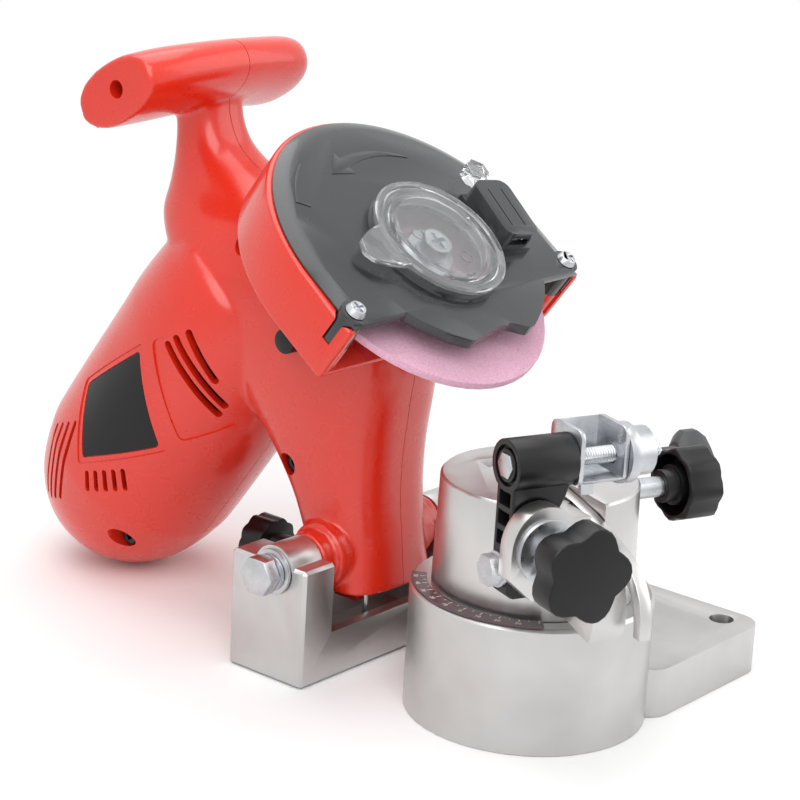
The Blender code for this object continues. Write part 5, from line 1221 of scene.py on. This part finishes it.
@dataclasses.dataclass
class Cover:
    """The black guard cover with its notched tongue, window collar, latch house and raised marks.

    Attributes:
        tongue: The outline of the tongue below the straight edge, in millimetres.
        relief: How far the marks stand up.
    """

    tongue: tuple[tuple[float, float], ...] = (
        (-38.2, -18.0), (-37.7, -24.1), (-33.5, -29.2), (-25.5, -36.8), (-17.2, -41.9), (-9.5, -40.4),
        (0.4, -38.6),
        (7.0, -38.4), (13.2, -42.1), (15.9, -42.7), (25.0, -37.9), (33.9, -31.5), (39.8, -25.7),
        (40.0, -18.0),
    )
    relief: float = 0.3 * MM

    def raised(self, name: str, outline: list[tuple[float, float]]) -> bpy.types.Object:
        """Makes one mark that stands up from the face.

        Args:
            name: The object's name.
            outline: Radius in millimetres and angle in degrees of each point.

        Returns:
            The mark.
        """
        points = [(r * MM * math.cos(math.radians(a)), r * MM * math.sin(math.radians(a))) for r,
                  a in outline]
        piece = slab(name, points, COVER_FACE - 0.5 * MM, COVER_FACE + self.relief, WHEEL_FRAME)
        return soften_edges(piece, 0.12 * MM, 2)

    def marks(self) -> list[bpy.types.Object]:
        """Makes the turning arrow that widens to its head, and the ridge beside it."""
        steps = [i / 20 for i in range(21)]
        outer = [(46.5, 61 + 43 * t) for t in steps]
        inner = [(41.5 + 4.5 * t, 104 - 43 * t) for t in steps]
        arrow = self.raised("turning_arrow", [*outer, (49.5, 104), (44.0, 118), (38.5, 104), *inner])
        rib = [(55.9, 125 + 22.5 * t) for t in steps] + [(55.0, 147.5 - 22.5 * t) for t in steps]
        return [arrow, self.raised("rim_rib", rib),
                self.raised("cross_rib", [(50, 147), (56, 147), (56, 148), (50, 148)])]

    def house(self) -> bpy.types.Object:
        """Cuts the latch house out of the cover's solid and gives its top two shallow grooves."""
        house = fair_copy("guard_cover")
        room = block("house_room", (-8.6 * MM, -13.6 * MM, 13.0 * MM), (8.6 * MM, 13.6 * MM, 24.5 * MM),
                     LATCH_FRAME)
        combine(house, [room], "INTERSECT")
        soften_edges(house, 0.4 * MM)
        grooves = [
            block("house_groove", (x * MM, -9.0 * MM, 23.6 * MM), ((x + 0.5) * MM, 9.0 * MM, 25.0 * MM),
                  LATCH_FRAME)
            for x in (-3.6, 3.1)
        ]
        return combine(house, grooves, "DIFFERENCE")

    def build(self) -> None:
        """Makes the cover in one piece."""
        foot, head = arch(63.2 * MM, -24.6 * MM), arch(57.8 * MM, -24.0 * MM)
        cover = stack(
            "guard_cover_finished", [(10.8 * MM, foot), (11.4 * MM, foot), (COVER_FACE, head)], WHEEL_FRAME,
        )
        tongue = round_corners([(x * MM, y * MM) for x, y in self.tongue], 2.0 * MM)
        combine(cover, [slab("tongue", tongue, 9.2 * MM, COVER_FACE, WHEEL_FRAME)], "UNION")
        bosses = [cylinder("boss", POST_R, -0.2 * MM, 13.4 * MM, place, 48) for place in SCREW_FRAMES]
        combine(cover, bosses, "UNION")
        soften_edges(cover, 0.5 * MM, 3, 25)
        collar = [(26.8, 12.4), (26.8, 13.6), (26.4, 14.3), (26.2, 15.9), (25.7, 16.4), (0, 16.4)]
        combine(cover, [lathe("collar", [(0, 12.4), *collar], WHEEL_FRAME)], "UNION")
        combine(cover, [cylinder("window", WINDOW_R, 5.0 * MM, 30.0 * MM, WHEEL_FRAME, 96)], "DIFFERENCE")
        combine(cover, self.marks(), "UNION")
        wells = [cylinder("well", 2.2 * MM, -5.0 * MM, 30.0 * MM, place, 32) for place in SCREW_FRAMES]
        combine(cover, wells, "DIFFERENCE")
        join_pieces(cover, [self.house()])
        mount(dress(cover, Stock.BLACK, 30), "head", "black_plastic", "guard_cover")


@dataclasses.dataclass
class Cap:
    """The clear cap over the window, with its grip ring, its tab and small moulded rings.

    Attributes:
        profile: Radius and height of its section, in millimetres.
        tab: The outline of its tab, in millimetres.
    """

    profile: tuple[tuple[float, float], ...] = (
        (0, 20.1), (20.6, 20.1), (21.5, 19.9), (21.9, 19.2), (22.3, 18.7), (23.4, 18.7), (24.0, 19.4),
        (25.9, 19.4),
        (26.7, 18.6), (26.7, 17.2), (26.3, 16.9), (19.9, 16.9), (19.9, 13.9), (18.3, 13.9), (18.3, 18.5),
        (0, 18.5),
    )
    tab: tuple[tuple[float, float], ...] = (
        (-22.5, 10.8), (-32, 8.6), (-38.8, 5.4), (-41.2, 0.4), (-38.8, -4.4), (-32, -7.4), (-22.5, -10),
    )

    def build(self) -> None:
        """Makes the cap in one piece."""
        cap = lathe("clear_cap_finished", list(self.profile), WHEEL_FRAME, 128)
        outline = round_corners([(x * MM, y * MM) for x, y in self.tab], 1.5 * MM)
        tab = soften_edges(slab("tab", outline, 16.92 * MM, 19.2 * MM, WHEEL_FRAME), 0.4 * MM, 2)
        section = [(2.2, 19.8), (2.3, 20.35), (2.7, 20.35), (2.8, 19.8), (2.2, 19.8)]
        rings = [
            lathe("small_ring", section, WHEEL_FRAME @ Matrix.Translation((x * MM, y * MM, 0)), 32)
            for x, y in ((-12.1, 2.0), (1.8, -11.8), (17.5, 2.0))
        ]
        combine(cap, [tab, *rings], "UNION")
        mount(dress(cap, Stock.GLASSY, 35), "cap", "clear_plastic", "clear_cap")


# Vise and base


@dataclasses.dataclass
class Thread:
    """A rolled thread that stands for the plain shank of a screw.

    Attributes:
        node: The solid that holds the shank.
        matrix: A frame with its Z along the shank.
        radius: The shank's radius.
        low: Where the thread starts along it.
        high: Where it ends.
        pitch: The thread's pitch.
        keep: Whether the solid has a head that stays.
        sink: Where a head seated deep in its recess starts, below which it is flattened.
    """

    node: str
    matrix: Matrix
    radius: float
    low: float
    high: float
    pitch: float = 1.25 * MM
    keep: bool = True
    sink: float | None = None

    def ridge(self) -> bpy.types.Object:
        """Makes the threaded rod."""
        length = self.high - self.low
        rings = int(length / self.pitch * 6) + 1
        depth = self.pitch * 0.5

        def placer(share: float, angle: float) -> Vector:
            phase = (share * length / self.pitch + angle / (2 * math.pi)) % 1.0
            lift = min(1.0, 1.5 * abs(2 * phase - 1))
            fade = min(1.0, share * length / self.pitch, (1 - share) * length / self.pitch)
            radius = self.radius - depth * (1 - lift * fade)
            return Vector((radius * math.cos(angle), radius * math.sin(angle), self.low + share * length))

        return tube(self.node + "_thread", rings, 24, placer, self.matrix)

    def build(self) -> None:
        """Puts the thread on a copy of the solid, whose own shank shrinks inside it."""
        piece = fair_copy(self.node)
        inverse = self.matrix.inverted()
        for vertex in piece.data.vertices:
            local = inverse @ vertex.co
            reach = math.hypot(local.x, local.y)
            on_shank = self.low - 0.1 * MM <= local.z <= self.high + 0.1 * MM
            if abs(reach - self.radius) < 0.15 * MM and on_shank:
                local.x *= 0.75
                local.y *= 0.75
            if self.sink is not None and local.z < self.sink:
                local.z = self.sink + (local.z - self.sink) * 0.2
            vertex.co = self.matrix @ local
        if self.keep:
            soften_edges(piece, 0.35 * MM, 2)
        join_pieces(piece, [self.ridge()])
        mount(dress(piece, Stock.ZINC, 40), body_of_node(self.node), slot_of_node(self.node), self.node)


@dataclasses.dataclass
class AngleScale:
    """The film round the turret with its ticks and plain numbers.

    Attributes:
        top: The film's upper face.
        inner: The film's inner radius.
        outer: Its outer radius.
        middle: The direction of its zero, in degrees.
        step: Degrees between two ticks.
    """

    top: float = 47.4 * MM
    inner: float = 37.6 * MM
    outer: float = 43.0 * MM
    middle: float = 180.0
    step: int = 5

    def tick(self, angle: float, long: bool) -> bpy.types.Object:
        """Makes one tick.

        Args:
            angle: Its direction, in degrees.
            long: Whether it marks a number.

        Returns:
            The tick.
        """
        half = (0.16 if long else 0.11) * MM
        reach = self.inner + (2.2 if long else 1.4) * MM
        turn = Matrix.Rotation(math.radians(angle), 4, "Z")
        return block("tick", (self.inner + 0.2 * MM, -half, self.top - 0.05 * MM),
                     (reach, half, self.top + 0.04 * MM), turn)

    def number(self, text: str, angle: float) -> bpy.types.Object:
        """Makes one number that reads from outside.

        Args:
            text: The number.
            angle: Its direction, in degrees.

        Returns:
            The number as a thin mesh.
        """
        clear_selection()
        bpy.ops.object.text_add()
        piece = bpy.context.active_object
        piece.data.body = text
        piece.data.size = 2.3 * MM
        piece.data.extrude = 0.045 * MM
        piece.data.align_x = "CENTER"
        piece.data.align_y = "CENTER"
        piece.data.resolution_u = 3
        take_up(piece)
        bpy.ops.object.convert(target="MESH")
        piece = bpy.context.active_object
        turn = Matrix.Rotation(math.radians(angle), 4, "Z")
        out = Matrix.Translation(((self.inner + self.outer) / 2 + 1.15 * MM, 0, self.top))
        return fix_place(piece, turn @ out @ Matrix.Rotation(math.radians(90), 4, "Z"))

    def build(self) -> None:
        """Makes the film's marks and sets them on the base."""
        film = frame["nodes"]["angle_scale_plate"]
        # The film's dark colour is its own; its wine red tint is painted reflection of the red housing.
        film.data.materials.clear()
        film.data.materials.append(PAINTS.get(Stock.SCALE))
        angles = [math.degrees(math.atan2(v.co.y, v.co.x)) % 360 for v in film.data.vertices]
        low, high = min(angles) + 1.5, max(angles) - 1.5
        marks = []
        for value in range(-50, 51, self.step):
            angle = self.middle + value
            if not low <= angle <= high:
                continue
            marks.append(self.tick(angle, value % 10 == 0))
            if value % 10 == 0 and low + 3 <= angle <= high - 3:
                marks.append(self.number(str(abs(value)), angle))
        piece = join_pieces(marks[0], marks[1:])
        piece.name = "scale_marks"
        mount(dress(piece, Stock.INK, 30), "base", "scale_metal")


@dataclasses.dataclass
class FairPieces:
    """Solids whose shape is right, each finished with soft edges and its own material.

    Attributes:
        plan: Node, finish, edge width in millimetres and sharpest smooth angle.
    """

    plan: list[tuple[str, Stock, float, float]] = dataclasses.field(
        default_factory=lambda: [
            ("base_casting", Stock.CASTING, 0.7, 30),
            ("vise_drum", Stock.DRUM, 0.5, 30),
            ("moving_jaw", Stock.DRUM, 0.35, 30),
            ("latch_slide", Stock.GLASSY, 0.3, 30),
            ("grinding_wheel", Stock.WHEEL, 0.5, 30),
            ("wheel_flange_outer", Stock.ZINC, 0.3, 30),
            ("wheel_flange_inner", Stock.ZINC, 0.3, 30),
            ("wheel_screw", Stock.ZINC, 0.25, 30),
            ("cover_screw_left", Stock.ZINC, 0.25, 30),
            ("cover_screw_right", Stock.ZINC, 0.25, 30),
            ("stop_arm", Stock.NYLON, 0.5, 30),
            ("star_knob", Stock.NYLON, 1.0, 30),
            ("stop_washer", Stock.ZINC, 0.3, 30),
            ("chain_stop", Stock.ZINC, 0.3, 30),
            ("cross_nut", Stock.ZINC, 0.35, 30),
            ("arm_pivot_bolt", Stock.ZINC, 0.4, 30),
            ("angle_lock_knob", Stock.NYLON, 0.5, 30),
            ("clamp_lever", Stock.GREY, 0.8, 30),
            ("depth_knob", Stock.NYLON, 0.8, 30),
            ("depth_lock_nut", Stock.ZINC, 0.35, 30),
            ("pivot_washer_left", Stock.ZINC, 0.2, 30),
            ("pivot_washer_right", Stock.ZINC, 0.2, 30),
            ("pivot_spring_washer", Stock.ZINC, 0.2, 30),
            ("pivot_nut", Stock.ZINC, 0.4, 30),
            # The housing screws' zinc is darkened with painted shade of their wells.
            ("housing_screw_neck", Stock.DARK, 0.2, 30),
            ("housing_screw_foot", Stock.DARK, 0.2, 30),
            ("housing_screw_barrel", Stock.DARK, 0.2, 30),
            ("trigger", Stock.RED, 0.8, 30),
            ("spindle_lock_button", Stock.NYLON, 0.5, 30),
            ("return_spring", Stock.ZINC, 0.0, 50),
        ]
    )

    def build(self) -> None:
        """Finishes each solid of the plan."""
        for node, stock, edge, angle in self.plan:
            piece = fair_copy(node)
            if edge:
                soften_edges(piece, edge * MM)
            slot = "red_plastic" if stock is Stock.RED else slot_of_node(node)
            mount(dress(piece, stock, angle), body_of_node(node), slot, node)


@dataclasses.dataclass
class InnerWorks:
    """The motor, belt and bearings inside the shell, which show only through the vents.

    Attributes:
        plan: The finish of each node.
    """

    plan: dict[str, Stock] = dataclasses.field(
        default_factory=lambda: {
            "motor_stator": Stock.CORE, "armature": Stock.CORE, "commutator": Stock.COPPER,
            "cooling_fan": Stock.NYLON, "motor_pulley": Stock.GROUND, "spindle": Stock.GROUND,
            "spindle_pulley": Stock.GROUND, "drive_belt": Stock.RUBBER, "motor_bearing_front": Stock.GROUND,
            "motor_bearing_rear": Stock.GROUND, "spindle_bearing_front": Stock.GROUND,
            "spindle_bearing_rear": Stock.GROUND, "brush_left": Stock.CARBON, "brush_right": Stock.CARBON,
            "brush_holder_left": Stock.COPPER, "brush_holder_right": Stock.COPPER,
        }
    )

    def build(self) -> None:
        """Gives each node its finish where it stands."""
        for node, stock in self.plan.items():
            solid = frame["nodes"][node]
            solid.data.materials.clear()
            solid.data.materials.append(PAINTS.get(stock))
            LOG.info("%s dressed", node)


# Studio


@dataclasses.dataclass
class Studio:
    """The floor, the soft lights and the camera.

    Attributes:
        lens: The camera's focal length in millimetres on a 36 mm sensor.
        eye: Where the camera stands.
        azimuth: Its direction round the tool, in degrees.
        elevation: How far above the horizon it stands.
        roll: Its lean.
    """

    lens: float = 107.57
    eye: tuple[float, float, float] = (-0.64945, -0.45856, 0.34748)
    azimuth: float = -51.13
    elevation: float = 16.57
    roll: float = 3.31

    def camera(self) -> None:
        """Sets up the camera at the photograph's view."""
        a, e, r = (math.radians(v) for v in (self.azimuth, self.elevation, self.roll))
        back = Vector((math.sin(a) * math.cos(e), -math.cos(a) * math.cos(e), math.sin(e)))
        level = (-back).cross(Vector((0, 0, 1))).normalized()
        rise = level.cross(-back)
        right = math.cos(r) * level + math.sin(r) * rise
        up = -math.sin(r) * level + math.cos(r) * rise
        data = bpy.data.cameras.new("camera")
        data.lens = self.lens
        data.sensor_width = 36.0
        data.clip_start = 0.02
        camera = bpy.data.objects.new("camera", data)
        matrix = Matrix((right, up, back)).transposed().to_4x4()
        matrix.translation = self.eye
        camera.matrix_world = matrix
        bpy.context.scene.collection.objects.link(camera)
        bpy.context.scene.camera = camera

    def seen(self, tree: bpy.types.NodeTree) -> bpy.types.NodeSocket:
        """Adds a switch that is one for rays seen directly, in a mirror or through clear pieces.

        Args:
            tree: The node tree that gets it.

        Returns:
            The switch's value.
        """
        path = add_node(tree, "ShaderNodeLightPath")
        value = path.outputs["Is Camera Ray"]
        for kind in ("Is Glossy Ray", "Is Transmission Ray"):
            value = maths(tree, "MAXIMUM", value, path.outputs[kind])
        return value

    def floor(self) -> None:
        """Lays the pale floor, which turns to plain white away from the tool."""
        clear_selection()
        bpy.ops.mesh.primitive_grid_add(x_subdivisions=8, y_subdivisions=8, size=6.0,
                                        location=(0, 0, -0.2 * MM))
        floor = bpy.context.active_object
        floor.name = "floor"
        material = bpy.data.materials.new("matt_white_paper")
        material.use_nodes = True
        tree = material.node_tree
        shader = tree.nodes["Principled BSDF"]
        shader.inputs["Base Color"].default_value = linear("#fbfbfb")
        shader.inputs["Roughness"].default_value = 0.9
        shader.inputs["Specular IOR Level"].default_value = 0.1
        reach = add_node(tree, "ShaderNodeVectorMath", {"operation": "LENGTH"})
        tree.links.new(add_node(tree, "ShaderNodeTexCoord").outputs["Object"], reach.inputs[0])
        far = add_node(
            tree, "ShaderNodeMapRange", {"interpolation_type": "SMOOTHSTEP"}, Value=reach.outputs["Value"],
            From_Min=0.18, From_Max=0.48,
        )
        share = maths(tree, "MULTIPLY", far.outputs[0], self.seen(tree))
        glow = add_node(tree, "ShaderNodeEmission", None, Color=(1, 1, 1, 1), Strength=1.0)
        mix = add_node(tree, "ShaderNodeMixShader")
        tree.links.new(share, mix.inputs[0])
        tree.links.new(shader.outputs[0], mix.inputs[1])
        tree.links.new(glow.outputs[0], mix.inputs[2])
        tree.links.new(mix.outputs[0], tree.nodes["Material Output"].inputs[0])
        floor.data.materials.append(material)

    def lamp(self, name: str, place: tuple[float, float, float], size: float, power: float) -> None:
        """Hangs one square soft light that faces the tool.

        Args:
            name: Its name.
            place: Where it hangs.
            size: Its side.
            power: Its power in watts.
        """
        data = bpy.data.lights.new(name, "AREA")
        data.size = size
        data.energy = power
        lamp = bpy.data.objects.new(name, data)
        look = Vector((0.0, 0.08, 0.1)) - Vector(place)
        lamp.matrix_world = Matrix.Translation(place) @ look.to_track_quat("-Z", "Y").to_matrix().to_4x4()
        bpy.context.scene.collection.objects.link(lamp)

    def world(self) -> None:
        """Makes the white surround, which shows as plain white to the camera."""
        world = bpy.data.worlds.new("white_surround")
        bpy.context.scene.world = world
        world.use_nodes = True
        tree = world.node_tree
        tree.nodes.clear()
        soft = add_node(tree, "ShaderNodeBackground", None, Color=(1, 1, 1, 1), Strength=0.36)
        white = add_node(tree, "ShaderNodeBackground", None, Color=(1, 1, 1, 1), Strength=1.0)
        mix = add_node(tree, "ShaderNodeMixShader")
        tree.links.new(self.seen(tree), mix.inputs[0])
        tree.links.new(soft.outputs[0], mix.inputs[1])
        tree.links.new(white.outputs[0], mix.inputs[2])
        out = add_node(tree, "ShaderNodeOutputWorld")
        tree.links.new(mix.outputs[0], out.inputs[0])

    def build(self) -> None:
        """Sets up the camera, the floor and the lights."""
        self.camera()
        self.floor()
        self.world()
        self.lamp("key", (-0.9, -0.5, 1.1), 1.3, 15.0)
        self.lamp("fill", (0.9, -0.9, 0.7), 1.3, 6.0)
        self.lamp("top", (0.1, 0.4, 1.4), 1.4, 12.0)
        bpy.context.scene.view_settings.view_transform = "Standard"


def turned_frame(matrix: Matrix, point: tuple[float, float, float], axis: str) -> Matrix:
    """A frame at a point whose Z lies along another frame's axis.

    Args:
        matrix: The other frame.
        point: The point in it.
        axis: X or Y, either with a minus before it for the other way.

    Returns:
        The new frame.
    """
    turns = {"X": (math.pi / 2, "Y"), "-X": (-math.pi / 2, "Y"), "Y": (-math.pi / 2, "X"),
             "-Y": (math.pi / 2, "X")}
    angle, about = turns[axis]
    return matrix @ Matrix.Translation(point) @ Matrix.Rotation(angle, 4, about)


def threads() -> list[Thread]:
    """Returns the screws whose thread shows."""
    world = Matrix.Identity(4)
    return [
        Thread("stop_screw", turned_frame(TABLE_FRAME, (-29.5 * MM, 0, 81.0 * MM), "-Y"), 3.6 * MM,
               44.3 * MM, 67.6 * MM, keep=False),
        Thread("cross_bolt", turned_frame(TABLE_FRAME, (0, -38.5 * MM, 106.8 * MM), "X"), 3.0 * MM,
               -12.0 * MM, 20.9 * MM, 1.0 * MM, sink=-38.2 * MM),
        Thread("angle_lock_stud", turned_frame(TABLE_FRAME, (0, 0, 77.3 * MM), "X"), 3.8 * MM, 36.5 * MM,
               56.0 * MM, keep=False),
        Thread("depth_screw", turned_frame(world, (0, 0, 27.0 * MM), "Y"), 4.0 * MM, 92.4 * MM, 122.0 * MM,
               keep=False),
        Thread("pivot_bolt", turned_frame(world, (0, 78.0 * MM, 42.0 * MM), "X"), 4.0 * MM, 40.0 * MM,
               61.0 * MM),
    ]


def main() -> None:
    """Builds the tool's looks in order and reports each piece."""
    logging.basicConfig(level=logging.INFO, format="%(name)s: %(message)s")
    Studio().build()
    FairPieces().build()
    for thread in threads():
        thread.build()
    InnerWorks().build()
    AngleScale().build()
    BarePlate().build()
    Cover().build()
    Cap().build()
    Housing().build()


if __name__ == "__main__":
    main()
